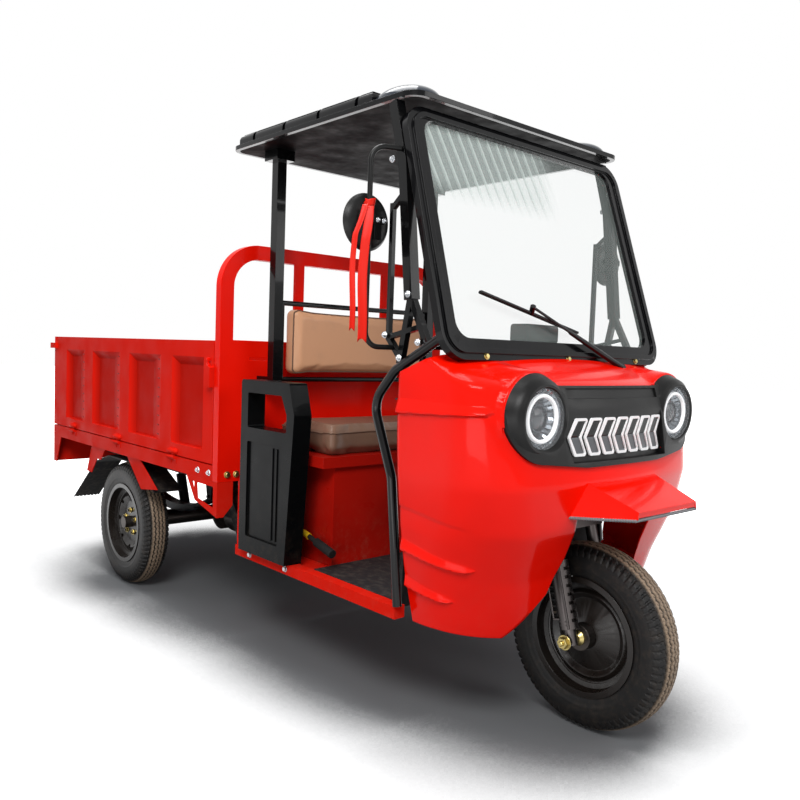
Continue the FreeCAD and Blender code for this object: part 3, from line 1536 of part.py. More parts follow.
def make_roof():
    half = roof_half_width
    outline = [vec(roof_rear, -half, roof_level), vec(roof_front, -half, roof_level),
               vec(roof_front, half, roof_level), vec(roof_rear, half, roof_level)]
    lid = slab(outline, along_z * roof_lip, roof_corner)
    inset = deck_inset
    low = roof_level - overrun
    hollow = [vec(roof_rear + inset, inset - half, low), vec(roof_front - inset, inset - half, low),
              vec(roof_front - inset, half - inset, low), vec(roof_rear + inset, half - inset, low)]
    lid = lid.cut(slab(hollow, along_z * (overrun + roof_lip - roof_sheet), roof_corner - inset))
    rear, front = roof_rear + deck_rear_inset, roof_front - deck_front_inset
    deck_top = roof_top + deck_height
    deck = box((rear, front), (inset - half, half - inset), (roof_top - running_gap, deck_top))
    rim = [edge for edge in deck.Edges if edge.BoundBox.ZMin > deck_top - deck_height / 2]
    deck = deck.makeFillet(deck_corner, rim)
    thick = roof_sheet
    room = box((rear + thick, front - thick), (inset + thick - half, half - inset - thick),
               (low, deck_top - thick))
    grooves, rises = [], []
    for share in deck_groove_shares:
        x = rear + (front - rear) * share
        end = x + deck_groove_width
        grooves.append(box((x, end), (-half, half), (roof_top, deck_top + deck_height)))
        rises.append(box((x - thick, end + thick), (-half, half), (roof_top - thick, roof_top + overrun)))
    room = room.cut(rises)
    save("roof", joined([lid, deck.cut(grooves)]).cut(room))
    edge = inset + running_gap
    rim = [vec(roof_rear + edge, edge - half, roof_level), vec(roof_front - edge, edge - half, roof_level),
           vec(roof_front - edge, half - edge, roof_level), vec(roof_rear + edge, half - edge, roof_level)]
    save("roof_lining", slab(rim, along_z * lining_sheet, roof_corner - inset))
    ball = Part.makeSphere(1)
    matrix = FreeCAD.Matrix()
    matrix.scale(blister_half_length, blister_half_width, blister_height)
    dome = ball.transformGeometry(matrix)
    dome.translate(vec(blister_x, -blister_side, roof_top))
    span = blister_half_length + overrun
    keep = box((blister_x - span, blister_x + span), (-blister_side - span, span - blister_side),
               (roof_top + running_gap, roof_top + blister_height * 2))
    deck_room = box((rear, front + running_gap), (-half, half), (low, roof_top + overrun * 3))
    save("roof_lamps", twins(dome.common(keep).cut(deck_room)))


def make_pillars():
    y = -pillar_outer
    head = vec(pillar_head_x, y, roof_level - running_gap)
    neck = vec(pillar_neck_x, y, pillar_neck_height)
    waist = vec(pillar_x, y, pillar_split)
    foot_rear = vec(pillar_foot_rear, y, pillar_foot_low)
    foot_front = vec(pillar_foot_front, y, pillar_foot_height)
    size = pillar_size
    leg = leg_size
    pieces = [strut(head - along_z * size / 4, neck - along_z * size / 4, size, size, along_y),
              strut(neck, waist - along_z * size / 4, size, size, along_y),
              strut(waist, foot_rear, leg, leg, along_y), strut(waist, foot_front, leg, leg, along_y)]
    stay_foot = vec(stay_x, y, stay_foot_height)
    stay_head = vec(stay_x, y, stay_head_height)
    stay = stay_size
    height = pillar_neck_height - pillar_split
    stay_joint = waist + (neck - waist) * ((stay_head_height + size - pillar_split) / height)
    pieces.append(strut(stay_joint, stay_head - along_z * stay, stay, stay, along_y))
    pieces.append(strut(stay_head, stay_foot, stay, stay, along_y))
    pieces.append(strut(stay_foot, vec(stay_foot_front, y, stay_foot_height + size), leg, stay, along_y))
    pieces.append(strut(stay_foot, vec(pillar_foot_rear, y, pillar_foot_height - size), leg, stay, along_y))
    roof_room = box((pillar_head_x - overrun, pillar_head_x + overrun), (y - size, y + size),
                    (roof_level - running_gap, roof_level + overrun))
    save("front_pillars", twins(joined(pieces).cut([make_grab_tube(running_gap), roof_room])))


def make_grab_tube(grow):
    y = -grab_side
    points = [vec(grab_top, y, grab_top_height), vec(grab_knee, y, grab_knee_height),
              vec(grab_back, y, grab_back_height), vec(grab_waist, y, grab_waist_height),
              vec(grab_foot, y, sill_top + weld)]
    return tube(points, grab_bend, grab_radius + grow)


def make_mirrors():
    outside = pillar_outer + arm_radius * arm_tilt_share + running_gap
    root = vec(pillar_neck_x, -outside - pillar_size / 2, arm_high)
    low_root = vec((stay_x + pillar_foot_rear) / 2, -outside - leg_size / 2, arm_low)
    points = [root, vec(arm_x, -arm_side, arm_high), vec(arm_x, -arm_side, arm_low), low_root]
    arm = tube(points, arm_bend, arm_radius)
    front = arm_x - arm_radius / 2
    centre = vec(front, -mirror_side, mirror_level)
    rim = mirror_rim
    inside = mirror_radius - rim
    profile = [(0, 0)] + [(mirror_depth * along, mirror_radius * out) for along, out in mirror_back_shares]
    profile += [(mirror_depth - rim, mirror_radius), (mirror_depth, mirror_radius), (mirror_depth, inside),
                (mirror_depth - rim, inside), (mirror_depth - rim, 0)]
    shell = turned(profile, centre, -along_x, along_z)
    save("mirrors", twins(joined([arm, shell])))
    back = centre - along_x * (mirror_depth - rim + running_gap)
    glass = rod(back, centre - along_x * (mirror_depth - running_gap), inside - running_gap)
    save("mirror_glass", twins(glass))


# Firewall, dash and controls
def make_dash():
    half = sill_half_width - sill_width - running_gap
    foot = floor_top + running_gap
    wall = box((firewall_x, firewall_x + firewall_sheet), (-half, half), (foot, dash_level))
    shelf = box((firewall_x, dash_front), (-cowl_half_width, cowl_half_width),
                (dash_level, dash_level + firewall_sheet))
    slot = box((column_slot_rear, column_slot_front), (-column_slot_half, column_slot_half),
               (dash_level - overrun, dash_level + overrun))
    shelf = shelf.common(cowl_loft(cowl_wall + running_gap))
    save("dash_panel", joined([wall, shelf.cut(slot)]).cut(neck_tubes(running_gap)))
    middle = steer_point(bar_level + bar_rise * clamp_rise_share)
    low = middle.z + (stem_radius + bar_radius / 2) * math.sin(rake) + running_gap
    pod = box((middle.x - pod_depth / 2, middle.x + pod_depth / 2), (-pod_width / 2, pod_width / 2),
              (low, low + pod_height))
    save("dial_pod", pod.makeFillet(pod_round, pod.Edges))


def make_controls():
    side = -hand_lever_side
    start = vec(hand_lever_x, side, hand_lever_height)
    tip = vec(hand_lever_tip, side, hand_lever_tip_height)
    along = (tip - start).normalize()
    lever = rod(start, tip - along * hand_grip_length, hand_lever_radius)
    grip = rod(tip - along * hand_grip_length, tip, hand_grip_radius)
    base = box((hand_lever_x - hand_base_length / 2, hand_lever_x + hand_base_length / 2),
               (side - hand_base_width / 2, side + hand_base_width / 2),
               (floor_top + running_gap, hand_lever_height + hand_lever_radius))
    save("hand_brake", joined([lever, grip, base]))
    face = [(pedal_x, floor_top + pedal_rise), (pedal_x + pedal_sheet, floor_top + pedal_rise - pedal_sheet),
            (pedal_x + pedal_height / 2 + pedal_sheet, floor_top + pedal_rise + pedal_height - pedal_sheet),
            (pedal_x + pedal_height / 2, floor_top + pedal_rise + pedal_height)]
    pad = upright(face, pedal_side - pedal_width / 2, pedal_width)
    middle = vec(pedal_x + pedal_height / 4, pedal_side, floor_top + pedal_rise + pedal_height / 2)
    seat = vec(firewall_x - pedal_sheet * pedal_seat_share, pedal_side, middle.z + pedal_height / 2)
    arm = rod(middle, seat, pedal_sheet)
    save("brake_pedal", joined([pad, arm]))


make_wheels()
make_fork()
make_handlebar()
make_chassis()
make_springs()
make_shocks()
make_rear_axle()
make_battery()
make_bed(make_gates())
make_tail_panel()
make_headboard()
save("side_brackets", group(make_cages() + make_mudguards()))
make_cab_floor()
make_seat()
make_seat_back()
make_arm_guards()
cowl_outer = make_cowl()
make_grille(cowl_outer)
save("front_visor", make_visor().cut(cowl_outer))
make_screen(cowl_outer)
make_wiper(cowl_outer)
make_roof()
make_pillars()
save("grab_tubes", twins(make_grab_tube(0)))
make_mirrors()
make_dash()
make_controls()
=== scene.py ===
import json
import math

import bmesh
import bpy
import numpy as np
from mathutils import Matrix, Vector
from mathutils.bvhtree import BVHTree

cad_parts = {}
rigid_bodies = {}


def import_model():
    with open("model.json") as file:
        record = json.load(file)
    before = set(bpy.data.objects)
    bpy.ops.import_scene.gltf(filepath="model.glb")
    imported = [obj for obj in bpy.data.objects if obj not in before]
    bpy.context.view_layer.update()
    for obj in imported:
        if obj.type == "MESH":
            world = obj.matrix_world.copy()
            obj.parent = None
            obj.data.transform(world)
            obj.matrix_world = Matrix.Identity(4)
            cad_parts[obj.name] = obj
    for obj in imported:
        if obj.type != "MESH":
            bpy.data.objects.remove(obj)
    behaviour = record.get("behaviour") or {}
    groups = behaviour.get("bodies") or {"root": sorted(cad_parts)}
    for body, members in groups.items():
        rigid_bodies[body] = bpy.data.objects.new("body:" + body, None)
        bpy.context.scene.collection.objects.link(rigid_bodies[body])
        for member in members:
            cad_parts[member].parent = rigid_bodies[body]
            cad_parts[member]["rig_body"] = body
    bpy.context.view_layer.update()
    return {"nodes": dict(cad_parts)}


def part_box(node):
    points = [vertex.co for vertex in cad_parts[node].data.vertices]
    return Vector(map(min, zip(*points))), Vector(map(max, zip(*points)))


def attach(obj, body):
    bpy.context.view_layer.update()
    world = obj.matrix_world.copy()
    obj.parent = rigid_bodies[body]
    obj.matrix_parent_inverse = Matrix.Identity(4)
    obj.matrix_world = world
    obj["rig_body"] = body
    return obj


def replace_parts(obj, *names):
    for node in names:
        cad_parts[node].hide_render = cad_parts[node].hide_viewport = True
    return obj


mm = 0.001
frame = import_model()
cadNodes = frame["nodes"]
axleLow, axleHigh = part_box("rear_hub_right")
axleX = (axleLow.x + axleHigh.x) / 2  # every place below is in mm from the rear axle
sides = (("right", -1), ("left", 1))
print("frame loaded:", len(cadNodes), "nodes")


def at(x, y, z):
    return Vector((axleX + x * mm, y * mm, z * mm))


def nodeBody(name):
    return cadNodes[name]["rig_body"]


# Colours and shader helpers

def linear(hexCode):
    channels = [int(hexCode[i:i + 2], 16) / 255 for i in (1, 3, 5)]
    return [c / 12.92 if c <= 0.04045 else ((c + 0.055) / 1.055) ** 2.4 for c in channels] + [1.0]


# sockets of a node given values or linked to other sockets
def feed(tree, node, inputs):
    for key, value in inputs.items():
        if isinstance(value, bpy.types.NodeSocket):
            tree.links.new(value, node.inputs[key])
        else:
            node.inputs[key].default_value = value


def addNode(tree, kind, settings=None, inputs=None):
    node = tree.nodes.new(kind)
    for key, value in (settings or {}).items():
        setattr(node, key, value)
    feed(tree, node, inputs or {})
    return node


def newMaterial(name):
    material = bpy.data.materials.new(name)
    material.use_nodes = True
    tree = material.node_tree
    place = addNode(tree, "ShaderNodeTexCoord").outputs["Object"]
    return material, tree, tree.nodes["Principled BSDF"], place


def noiseOf(tree, place, sizeMm, detail=3.0, rough=0.5):
    return addNode(tree, "ShaderNodeTexNoise", inputs={
        "Vector": place, "Scale": 1.0 / (sizeMm * mm), "Detail": detail, "Roughness": rough}).outputs["Fac"]


def bumpOf(tree, shader, height, depthMm, strength=1.0):
    bump = addNode(tree, "ShaderNodeBump", inputs={
        "Height": height, "Distance": depthMm * mm, "Strength": strength})
    feed(tree, shader, {"Normal": bump.outputs["Normal"]})


def mixColor(tree, factor, first, second):
    return addNode(tree, "ShaderNodeMix", {"data_type": "RGBA"}, {0: factor, 6: first, 7: second}).outputs[2]


def mathOf(tree, operation, first, second=0.0, third=0.0):
    return addNode(tree, "ShaderNodeMath", {"operation": operation}, {
        0: first, 1: second, 2: third}).outputs[0]


# a smooth 0 to 1 as value goes from low to high
def stepUp(tree, value, low, high):
    node = addNode(tree, "ShaderNodeMapRange", {"interpolation_type": "SMOOTHSTEP"}, {
        "Value": value, "From Min": low, "From Max": high})
    return node.outputs["Result"]


# a value between bottom and top spread evenly from low to high
def spreadOf(tree, value, bottom, top, low, high):
    return addNode(tree, "ShaderNodeMapRange", inputs={
        "Value": value, "From Min": bottom, "From Max": top, "To Min": low, "To Max": high}).outputs["Result"]


def axisOf(tree, place, axis):
    return addNode(tree, "ShaderNodeSeparateXYZ", inputs={"Vector": place}).outputs[axis]


def dimmed(color, share):
    return [c * share for c in color[:3]] + [1.0]


# Materials, each named for what it is and how it was made

roadDust, paleHaze, brownTarnish = linear("#8C7A66"), linear("#6B665F"), linear("#5A4632")


# paint under clear lacquer: softly rippled and duller where it is handled; sunk holds the two
# distances from the middle, in metres, between which a pressed field falls back and its colour is darkened as
# painted shade
def sprayedGloss(name, hexCode, rough, coat, peelMm=2.2, dust=0.0, shade=0.10, mirror=0.08, sunk=None):
    material, tree, shader, place = newMaterial(name)
    base = linear(hexCode)
    broad = noiseOf(tree, place, 260, 2.0)
    color = mixColor(tree, stepUp(tree, broad, 0.35, 0.7), base, dimmed(base, 1 - shade))
    # painted shade: where the pressed field falls back its colour is darkened, standing for the shade in the
    # recess
    if sunk:
        out = mathOf(tree, "ABSOLUTE", axisOf(tree, place, "Y"))
        recessShade = mathOf(tree, "MULTIPLY", stepUp(tree, out, sunk[1], sunk[0]), 0.55)
        color = mixColor(tree, recessShade, color, dimmed(base, 0.45))
    if dust > 0:
        low = stepUp(tree, axisOf(tree, place, "Z"), 0.62, 0.25)
        grit = mathOf(tree, "MULTIPLY", low, stepUp(tree, noiseOf(tree, place, 34, 6.0, 0.7), 0.45, 0.75))
        color = mixColor(tree, mathOf(tree, "MULTIPLY", grit, dust), color, roadDust)
    wipe = noiseOf(tree, place, 90, 5.0, 0.6)
    feed(tree, shader, {
        "Base Color": color, "Roughness": spreadOf(tree, wipe, 0.3, 0.75, rough * 0.8, rough * 1.5),
        "Coat Weight": coat, "Coat Roughness": 0.04, "Coat IOR": 1.25, "Specular IOR Level": mirror})
    bumpOf(tree, shader, noiseOf(tree, place, peelMm * 3, 2.0), 0.05 * peelMm, 0.25)
    return material


# polypropylene from a grained mould: an even fine grain, paler where it has rubbed and dusted over
def mouldedPlastic(name, hexCode, rough, grainMm=0.9, depthMm=0.12, dust=0.15):
    material, tree, shader, place = newMaterial(name)
    haze = stepUp(tree, noiseOf(tree, place, 60, 5.0, 0.65), 0.5, 0.85)
    color = mixColor(tree, mathOf(tree, "MULTIPLY", haze, dust), linear(hexCode), paleHaze)
    feed(tree, shader, {"Base Color": color, "Roughness": rough, "Specular IOR Level": 0.2})
    grain = addNode(tree, "ShaderNodeTexVoronoi", inputs={"Vector": place, "Scale": 1 / (grainMm * mm)})
    bumpOf(tree, shader, grain.outputs["Distance"], depthMm, 0.5)
    return material


# metal with no paint: brushed or turned lines that stretch its highlights, with a little tarnish
def bareMetal(name, hexCode, rough, scratchMm=1.2, tarnish=0.2):
    material, tree, shader, place = newMaterial(name)
    spots = stepUp(tree, noiseOf(tree, place, 18, 6.0, 0.7), 0.55, 0.8)
    color = mixColor(tree, mathOf(tree, "MULTIPLY", spots, tarnish), linear(hexCode), brownTarnish)
    stretched = addNode(tree, "ShaderNodeMapping", inputs={"Vector": place, "Scale": (1, 1, 8)})
    lines = noiseOf(tree, stretched.outputs["Vector"], scratchMm, 2.0)
    feed(tree, shader, {"Base Color": color, "Metallic": 1.0,
                        "Roughness": spreadOf(tree, lines, 0.3, 0.7, rough * 0.75, rough * 1.3)})
    bumpOf(tree, shader, lines, 0.03, 0.3)
    return material


# float glass, seen through more than seen: a pale tint and a sharp reflection
def clearGlass(name, hexCode, alpha, coat=1.0):
    material, tree, shader, place = newMaterial(name)
    feed(tree, shader, {"Base Color": linear(hexCode), "Roughness": 0.02, "IOR": 1.5, "Alpha": alpha,
                        "Coat Weight": coat, "Coat Roughness": 0.02})
    bumpOf(tree, shader, noiseOf(tree, place, 240, 1.0), 0.2, 0.08)
    return material


# the same glass with a paler, finely striped band along the top of its right side: a painted reflection
def reflectionBandGlass(name, hexCode, alpha):
    material = clearGlass(name, hexCode, alpha)
    tree = material.node_tree
    place = addNode(tree, "ShaderNodeTexCoord").outputs["Object"]
    level, side = axisOf(tree, place, "Z"), axisOf(tree, place, "Y")
    # painted reflection: pale stripes make the glass more covered in a band near its top
    band = mathOf(tree, "MULTIPLY", stepUp(tree, level, 1.42, 1.50), stepUp(tree, side, 0.14, 0.02))
    slant = mathOf(tree, "MULTIPLY_ADD", level, 0.3, side)
    wave = mathOf(tree, "SINE", mathOf(tree, "MULTIPLY", slant, math.tau / (40 * mm)))
    reflectionStripes = mathOf(tree, "MULTIPLY_ADD", stepUp(tree, wave, 0.72, 0.95), 0.4, 0.22)
    share = mathOf(tree, "MULTIPLY", band, reflectionStripes)
    feed(tree, tree.nodes["Principled BSDF"], {"Alpha": mathOf(tree, "ADD", share, alpha)})
    return material


# vulcanised rubber: nearly matt, with grey bloom and road dust in its pores, and more of it
# where the mesh's worn attribute is high
def mouldedRubber(name, hexCode, dustHex, dust, ribMm=None, rough=0.72, worn=None):
    material, tree, shader, place = newMaterial(name)
    bloom = stepUp(tree, noiseOf(tree, place, 26, 6.0, 0.7), 0.42, 0.78)
    share = mathOf(tree, "MULTIPLY", bloom, dust)
    if worn:
        crown = addNode(tree, "ShaderNodeAttribute", {"attribute_name": worn}).outputs["Fac"]
        patchy = mathOf(tree, "MULTIPLY_ADD", noiseOf(tree, place, 40, 5.0, 0.6), 0.7, 0.35)
        share = mathOf(tree, "MAXIMUM", share, mathOf(tree, "MULTIPLY", crown, patchy))
    feed(tree, shader, {"Base Color": mixColor(tree, share, linear(hexCode), linear(dustHex)),
                        "Roughness": rough, "Specular IOR Level": 0.25})
    pores = noiseOf(tree, place, 1.6, 4.0, 0.6)
    if ribMm is None:
        bumpOf(tree, shader, pores, 0.35, 0.5)
    else:
        ribs = addNode(tree, "ShaderNodeTexWave", {"wave_type": "BANDS", "bands_direction": "Y"}, {
            "Vector": place, "Scale": 0.5 / (ribMm * mm) / 3.14, "Distortion": 0.0}).outputs["Fac"]
        bumpOf(tree, shader, mathOf(tree, "MULTIPLY_ADD", pores, 0.15, ribs), 1.2, 0.6)
    return material


cabRed = sprayedGloss("sprayed ABS shell red", "#FA1202", 0.18, 0.35, dust=0.03, shade=0.08, mirror=0.05)
bedRed = sprayedGloss("sprayed sheet steel red", "#DC1E10", 0.42, 0.0, peelMm=1.2, dust=0.1, shade=0.06,
                      mirror=0.02)
# the gate's pressed recesses are darkened as painted shade
gateRed = sprayedGloss("sprayed gate sheet red with painted recess shade", "#E21E10", 0.42, 0.0, peelMm=1.2, shade=0.06, mirror=0.02,
                       sunk=(0.505, 0.524))
frameRed = sprayedGloss("sprayed tube steel red", "#F41504", 0.3, 0.1, peelMm=1.2, dust=0.05, mirror=0.05)
boxRed = sprayedGloss("sprayed box steel dark red", "#B3160C", 0.30, 0.3, dust=0.2, shade=0.25)
tubeBlack = sprayedGloss("powder coated tube black", "#0B0B0C", 0.2, 0.8, peelMm=1.0)
roofBlack = sprayedGloss("vacuum formed gloss black", "#060608", 0.2, 0.6, peelMm=5.0)
liningBlack = sprayedGloss("roof lining black", "#060607", 0.5, 0.0, peelMm=20.0, mirror=0.02)
frameBlack = sprayedGloss("chassis enamel black", "#111113", 0.42, 0.2, dust=0.5)
guardBlack = sprayedGloss("sprayed guard black", "#08090A", 0.3, 0.15, dust=0.06, mirror=0.05)
rimBlack = sprayedGloss("sprayed rim black", "#191411", 0.26, 0.1, dust=0.0, shade=0.05, mirror=0.4)
satinTrim = mouldedPlastic("moulded satin black", "#0B0B0B", 0.36, dust=0.04)
dashPlastic = mouldedPlastic("moulded dash black", "#141416", 0.52)
caseBlack = mouldedPlastic("moulded battery case", "#17181A", 0.5)
tyreRubber = mouldedRubber("tyre rubber", "#0F0E0E", "#A8917A", 0.05, rough=0.5, worn="crown")
matRubber = mouldedRubber("ribbed mat rubber", "#1B1B1D", "#6E655A", 0.35, ribMm=14.0)
flapRubber = mouldedRubber("flap rubber", "#131314", "#6E655A", 0.35)
gripRubber = mouldedRubber("grip rubber", "#101010", "#3A3834", 0.2)
hubMetal = bareMetal("painted cast hub", "#4A4542", 0.42, tarnish=0.1)
springSteel = bareMetal("blackened spring steel", "#26262A", 0.5, tarnish=0.5)
brightSteel = bareMetal("zinc plated steel", "#B9BBBE", 0.24, tarnish=0.1)
forkSteel = bareMetal("cast alloy fork", "#565150", 0.36, tarnish=0.25)
brassBolt = bareMetal("yellow zinc bolt", "#B8A76E", 0.3, tarnish=0.15)
chromeBowl = bareMetal("vapour chrome reflector", "#70757A", 0.12, scratchMm=6, tarnish=0.0)
shroudChrome = bareMetal("smoked chrome shroud", "#3A3D41", 0.15, scratchMm=6, tarnish=0.0)
mirrorFace = bareMetal("silvered mirror", "#DADDE0", 0.03, scratchMm=40, tarnish=0.0)
screenGlass = reflectionBandGlass("windscreen glass", "#C9D6D0", 0.10)
lensGlass = clearGlass("lamp lens", "#F2F6FA", 0.07, coat=0.3)
redLens = sprayedGloss("red lamp lens", "#9C0A0A", 0.12, 1.0)
smokeLens = sprayedGloss("smoked roof lens", "#2B3038", 0.10, 1.0)
whiteLine = sprayedGloss("moulded white line", "#FFFFFF", 0.3, 0.3, shade=0.0)
cushionVinyl = mouldedPlastic("brown seat vinyl", "#7D5F4E", 0.30, grainMm=1.4, depthMm=0.18, dust=0.1)
pipingVinyl = mouldedPlastic("seat piping", "#6E5343", 0.4, dust=0.05)
trimRubber = mouldedPlastic("grey edge trim", "#7B7C7E", 0.5, dust=0.2)
smokePlastic = mouldedPlastic("smoked insert", "#0C0C0D", 0.3, dust=0.02)
greyPlastic = mouldedPlastic("grey insert", "#5A5D60", 0.35, dust=0.05)
projectorGlass = clearGlass("projector glass", "#20262C", 0.75, coat=0.25)
dayRing = sprayedGloss("lit day ring", "#FFFFFF", 0.3, 0.3, shade=0.0)
feed(dayRing.node_tree, dayRing.node_tree.nodes["Principled BSDF"], {
    "Emission Color": (1, 1, 1, 1), "Emission Strength": 0.3})
ribbonSilk = mouldedPlastic("red ribbon satin", "#E3200F", 0.42, grainMm=0.6, depthMm=0.02, dust=0.0)
bandYellow = mouldedPlastic("yellow sleeve", "#D9B21C", 0.45)
seatVinyl = mouldedPlastic("tan seat vinyl", "#CF9A76", 0.30, grainMm=1.4, depthMm=0.18, dust=0.1)
print("materials made")


# Finishing the CAD shapes: welded copies with softened edges

# a welded copy of a CAD node with its sharp edges rounded over, which stands for the node
def dressed(node, material, bevelMm, angle):
    mesh = cadNodes[node].data.copy()
    mesh.materials.clear()
    work = bmesh.new()
    work.from_mesh(mesh)
    bmesh.ops.remove_doubles(work, verts=work.verts, dist=0.02 * mm)
    bmesh.ops.dissolve_limit(work, angle_limit=math.radians(0.4), verts=work.verts, edges=work.edges)
    work.to_mesh(mesh)
    work.free()
    piece = newPiece(node + "_finish", mesh, material, nodeBody(node))
    bevelAndShade(piece, bevelMm, angle)
    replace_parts(piece, node)


def newPiece(name, mesh, material, body):
    piece = bpy.data.objects.new(name, mesh)
    bpy.context.scene.collection.objects.link(piece)
    mesh.materials.append(material)
    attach(piece, body)
    return piece


def smoothBy(piece, angle):
    piece.data.polygons.foreach_set("use_smooth", [True] * len(piece.data.polygons))
    piece.data.set_sharp_from_angle(angle=math.radians(angle))
    return piece


def bevelAndShade(piece, bevelMm, angle=32):
    if bevelMm > 0:
        bevel = piece.modifiers.new("soft edges", "BEVEL")
        bevel.width = bevelMm * mm
        bevel.segments = 2
        bevel.limit_method = "ANGLE"
        bevel.angle_limit = math.radians(angle)
        bevel.use_clamp_overlap = True
        bevel.harden_normals = True
    smoothBy(piece, angle)


# a wall grown on an open surface, inwards unless the offset says otherwise
def thicken(piece, thickMm, offset=-1):
    wall = piece.modifiers.new("wall", "SOLIDIFY")
    wall.thickness = thickMm * mm
    wall.offset = offset


plainFinish = {
    "front_rim": (rimBlack, 0.8), "rear_rim_right": (rimBlack, 0.8), "rear_rim_left": (rimBlack, 0.8),
    "front_hub": (hubMetal, 1.0), "rear_hub_right": (hubMetal, 0.8), "rear_hub_left": (hubMetal, 0.8),
    "fork": (forkSteel, 0.6), "handlebar": (tubeBlack, 0.5), "dial_pod": (dashPlastic, 0),
    "chassis_frame": (frameBlack, 1.0), "leaf_springs": (springSteel, 0.6),
    "shock_absorbers": (springSteel, 0.6), "rear_axle": (hubMetal, 1.0), "battery_box": (caseBlack, 5.0),
    "bed_floor": (bedRed, 1.0),
    "side_gate_right": (gateRed, 1.6), "side_gate_left": (gateRed, 1.6), "tail_gate": (bedRed, 1.6),
    "tail_panel": (bedRed, 1.2), "tail_lamps": (redLens, 2.0), "headboard": (frameRed, 2.0),
    "side_brackets": (bedRed, 0.8), "mudguards": (flapRubber, 0.8), "cab_floor": (bedRed, 1.0),
    "floor_mat": (matRubber, 1.0), "seat_box": (boxRed, 1.0), "seat_lid": (boxRed, 1.2),
    "rear_posts": (tubeBlack, 1.5),
    "arm_guards": (guardBlack, 2.0), "grille_panel": (satinTrim, 1.0),
    "lamp_lenses": (lensGlass, 1.0), "grille_chevrons": (whiteLine, 0.5),
    "front_visor": (cabRed, 1.2), "windscreen_frame": (roofBlack, 2.0), "windscreen_glass": (screenGlass, 0),
    "wiper": (tubeBlack, 0.4), "roof": (roofBlack, 3.0), "roof_lining": (liningBlack, 0.5),
    "roof_lamps": (smokeLens, 1.0), "front_pillars": (tubeBlack, 1.5), "grab_tubes": (tubeBlack, 0),
    "mirrors": (satinTrim, 0.6), "mirror_glass": (mirrorFace, 0.3), "dash_panel": (dashPlastic, 0.8),
    "hand_brake": (gripRubber, 0.6), "brake_pedal": (frameBlack, 0.8),
}
crispNodes = ("side_gate_right", "side_gate_left", "tail_gate", "front_visor", "bed_floor", "headboard")
for node, (material, bevelMm) in plainFinish.items():
    dressed(node, material, bevelMm, 8 if node in crispNodes else 32)

steering = {"foot": (1992, 0, 258), "rake": math.radians(15), "stem": 19.0, "slim": 0.6, "from": 300}


# the turning stem drawn a little thinner, so that its facets clear those of the head tube
def slimStem():
    rake, foot, stem = steering["rake"], at(*steering["foot"]), steering["stem"] * mm
    up = Vector((-math.sin(rake), 0, math.cos(rake)))
    for vert in bpy.data.objects["fork_finish"].data.vertices:
        offset = vert.co - foot
        along = offset.dot(up)
        spoke = offset - up * along
        if along > steering["from"] * mm and abs(spoke.length - stem) < 0.5 * mm:
            vert.co -= spoke * (steering["slim"] * mm / stem)


slimStem()
print("CAD pieces finished")


# The front cowl, from the same plan sections as its solid but with its creases rounded

cowl = {
    "bottom": 292, "top": 1048, "nose": 2107, "half": 492, "corner": 225, "bow": 2000, "rear": 1722,
    "rearRake": 30, "wall": 4, "levels": (0, .209, .381, .540, .646, .770, .877, .910, .943, 1),
    "depths": (.7209, .8249, .9562, 1, .9726, .9343, .8660, .7263, .5677, .3214),
    "halves": (.869, .940, .975, .995, 1, 1, .992, .985, .975, .950),
    "corners": (1, .98, .87, .74, .66, .55, .48, .43, .39, .34),
    "hem": ((1722, 306), (1830, 303), (1985, 292)),
    "crest": ((1722, 973), (1876, 1039), (1990, 1000)),
    "arch": ((292, 308), (405, 204), (505, 180), (664, 180)),
}
flankRibs = (  # level at the tip, rear rise, tip x, height
    (889, -4, 2020, 44), (486, 39, 1953, 38), (393, 34, 1886, 36))
panelShape = {"side": 314, "lamp": 874, "hole": 106, "pocket": (-250, 222, 757, 895)}
swell = {"face": 2074, "blend": 15, "profile": (  # behind the lamp's face, radius
    (-160, 134), (-130, 129), (-95, 124.5), (-60, 120.5), (-45, 118.4), (-40, 116.5), (-38, 114), (-38, 104))}


# a table of shares as a smooth curve over height, sampled every millimetre
def roundedTable(levels, shares, blurMm):
    height = cowl["top"] - cowl["bottom"]
    fine = np.linspace(0, 1, height + 1)
    values = np.interp(fine, levels, shares)
    reach = int(blurMm * 2)
    weights = np.exp(-0.5 * (np.arange(-reach, reach + 1) / blurMm) ** 2)
    before, after = 2 * values[0] - values[reach:0:-1], 2 * values[-1] - values[-2:-reach - 2:-1]
    padded = np.concatenate([before, values, after])
    return np.convolve(padded, weights / weights.sum(), "valid")


def cowlTables():
    tables = {}
    for key, blur in (("depths", 9), ("halves", 14), ("corners", 20)):
        tables[key] = roundedTable(cowl["levels"], cowl[key], blur)
    return tables


# points of the cowl's skin: u runs 0 to 3 over flank, corner and front, z is the height
def cowlSurface(tables, u, z, grow=0.0):
    place = np.clip(z - cowl["bottom"], 0, cowl["top"] - cowl["bottom"])
    steps = np.arange(len(tables["depths"]))
    nose = cowl["rear"] + (cowl["nose"] - cowl["rear"]) * np.interp(place, steps, tables["depths"]) + grow
    half = np.interp(place, steps, tables["halves"]) * cowl["half"] + grow
    corner = np.interp(place, steps, tables["corners"]) * cowl["corner"] + grow
    bow = cowl["bow"] + grow
    rear = cowl["rear"] + cowl["rearRake"] * (1 - place / (cowl["top"] - cowl["bottom"]))
    spread = half - corner
    cornerX = nose - bow + np.sqrt((bow - corner) ** 2 - spread ** 2)
    angle = np.arctan2(spread, cornerX - (nose - bow))
    flank = np.clip(u, 0, 1)
    turn = np.pi / 2 + (angle - np.pi / 2) * np.clip(u - 1, 0, 1)
    front = angle * (1 - np.clip(u - 2, 0, 1))
    x = np.where(u <= 1, rear + (cornerX - rear) * flank,
                 np.where(u <= 2, cornerX + corner * np.cos(turn), nose - bow + bow * np.cos(front)))
    y = np.where(u <= 1, half, np.where(u <= 2, spread + corner * np.sin(turn), bow * np.sin(front)))
    return x, y


